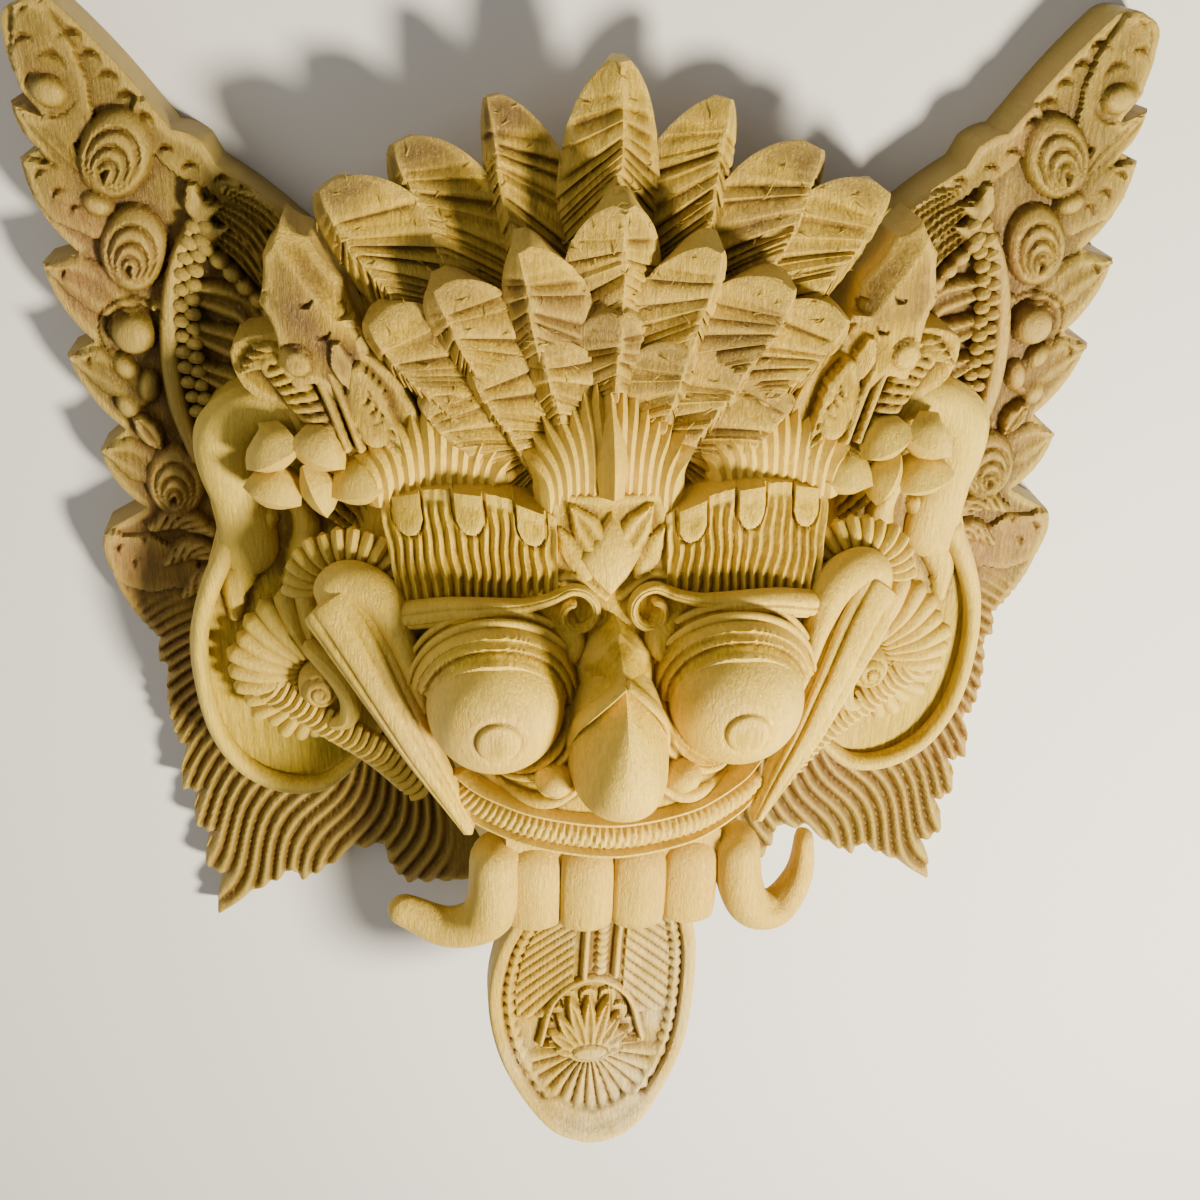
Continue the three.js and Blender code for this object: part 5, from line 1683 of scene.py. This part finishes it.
ears.add_both(spiral_earring(), tone=0.45)
leaf_finger = rod(np.array([(9, 0, 3), (27, 0, 5.5), (42, 0, 2)]), (1.8, 3.9, 4.6), (4, 6, 5), sides=12,
                  per=6)
small_ring = [(*(np.array(EARRING) + (math.cos(a), math.sin(a))), 50.0)
              for a in np.radians(np.linspace(122, -82, 60))]
ears.add_both(along(small_ring, leaf_finger, 17, lean=180, sizes=(1.1, 0.72)), tone=0.45)
trail = smooth([(139, -9, 52), (126, -16, 58), (111, -24, 64), (94, -32, 72), (76, -46, 82)], 8)
curved_tooth = rod(np.array([(-6.5, 1.2, -2), (0, 0, 1.5), (6, 1.6, 0)]), (1.6, 2.0, 1.8), (4, 5, 4),
                   sides=10, per=4)
ears.add_both(along(trail, curved_tooth, 23, lean=196, sizes=(1.05, 0.85)), tone=0.45)
ears.add_both(rod(trail[::8] - (0, 2, 3), (6, 7, 7, 6), (5, 6, 6, 5), sides=16, per=4), tone=0.5)
hook = [(121, 16, 62), (111, 8, 68), (104, -4, 71), (105, -16, 70), (113, -22, 66)]
ears.add_both(rod(hook, (3.4, 4.8, 4.8, 4.2, 2), (5, 7, 7, 6, 3), sides=20,
                  cuts=grooved_section((1.57,), 0.12)), tone=0.3)

# %% [markdown]
# A flower of five blunt petals sits on the temple, and a half ring of fingers stands over the strap. The
# petals reuse the flame of the fringe with a gabled section.

# %% Temple petals and the comb over the strap
GABLED = np.array([(-1, -1.6), (-1, -0.3), (-0.6, 0.45), (0, 1), (0.6, 0.45), (1, -0.3), (1, -1.6)])
PETALS = ((127, 101, 155, 17.5), (109, 101, 28, 17), (128, 86, 200, 16.5), (111.5, 87, 250, 14),
          (94, 87, -8, 18))
for x, y, degrees, wide in PETALS:
    shape = np.array([math.cos(math.radians(degrees)), math.sin(math.radians(degrees)), 0])
    middle = np.array([x, y, 71.0])
    path = [middle - shape * 8.5 - (0, 0, 3), middle + (0, 0, 1), middle + shape * 9.5 - (0, 0, 3)]
    ears.add_both(flame(path, wide, 7.0, section=GABLED, taper=(0.5, 0.85, 1.0, 0.97, 0.72)), tone=0.5)
comb_finger = rod(np.array([(11, 0, 4), (18, 0, 5), (26, 0, 1)]), (1.8, 2.9, 3.0), (4, 6, 5), sides=12, per=5)
comb_ring = [(102 + math.cos(a), 46 + math.sin(a), 72.0) for a in np.radians(np.linspace(170, 0, 40))]
ears.add_both(along(comb_ring, comb_finger, 13, lean=180, sizes=(1.0, 0.9)), tone=0.45)
finished(ears, ear_wood)

# %% [markdown]
# Camera, light and floor. The photograph looks down on the mask from above its crown, a little from the left,
# so the camera stands there with the same lens. A small warm light from the lower right draws the cuts, and a
# broad weak one from the other side keeps the shadows open.

# %% Camera, floor and lights
AIM = Vector((-0.8, 32.0 + SHIFT_Y, 64.0)) / 1000
YAW, PITCH, ROLL = (math.radians(degrees) for degrees in (-6.8, 27.5, 1.5))
DISTANCE, FOCAL_SHARE, SENSOR = 0.6, 1466 / 1200, 36.0


def aimed_camera():
    """The camera of the photograph."""
    back = Vector((math.sin(YAW) * math.cos(PITCH), math.sin(PITCH), math.cos(YAW) * math.cos(PITCH)))
    right = Vector((0, 1, 0)).cross(back).normalized()
    up = back.cross(right)
    side = right * math.cos(ROLL) + up * math.sin(ROLL)
    top = up * math.cos(ROLL) - right * math.sin(ROLL)
    data = bpy.data.cameras.new("camera")
    data.sensor_width, data.lens = SENSOR, SENSOR * FOCAL_SHARE
    camera = bpy.data.objects.new("camera", data)
    turned = Matrix((side, top, back)).transposed().to_4x4()
    camera.matrix_world = Matrix.Translation(AIM + back * DISTANCE) @ turned
    bpy.context.scene.collection.objects.link(camera)
    return camera


def soft_light(name, place, aim, size, power, colour):
    """A large area light that looks at a point."""
    data = bpy.data.lights.new(name, "AREA")
    data.shape, data.size, data.energy, data.color = "DISK", size, power, colour
    light = bpy.data.objects.new(name, data)
    light.location = place
    light.rotation_euler = (Vector(aim) - Vector(place)).to_track_quat("-Z", "Y").to_euler()
    bpy.context.scene.collection.objects.link(light)


FLOOR_REACH = 4


def pale_floor():
    """A plain pale floor under the mask."""
    mesh = bpy.data.meshes.new("floor")
    corners = [(x * FLOOR_REACH, y * FLOOR_REACH, 0) for x, y in ((-1, -1), (1, -1), (1, 1), (-1, 1))]
    mesh.from_pydata(corners, [], [(0, 1, 2, 3)])
    material = bpy.data.materials.new("floor_paint")
    material.use_nodes = True
    shader = material.node_tree.nodes["Principled BSDF"]
    shader.inputs["Base Color"].default_value = (0.62, 0.61, 0.6, 1)
    shader.inputs["Roughness"].default_value = 0.9
    mesh.materials.append(material)
    floor = bpy.data.objects.new("floor", mesh)
    bpy.context.scene.collection.objects.link(floor)


bpy.context.scene.camera = aimed_camera()
pale_floor()
soft_light("key_light", place=(0.56, -0.30, 0.84), aim=(0, 0.02, 0.06), size=0.22, power=42,
           colour=(1.0, 0.91, 0.72))
soft_light("fill_light", place=(-0.8, 0.4, 0.9), aim=(0, 0, 0.05), size=1.2, power=6.0,
           colour=(1.0, 0.92, 0.76))
world = bpy.data.worlds.new("studio")
world.use_nodes = True
world.node_tree.nodes["Background"].inputs["Color"].default_value = (0.9, 0.93, 1.0, 1)
world.node_tree.nodes["Background"].inputs["Strength"].default_value = 0.2
bpy.context.scene.world = world
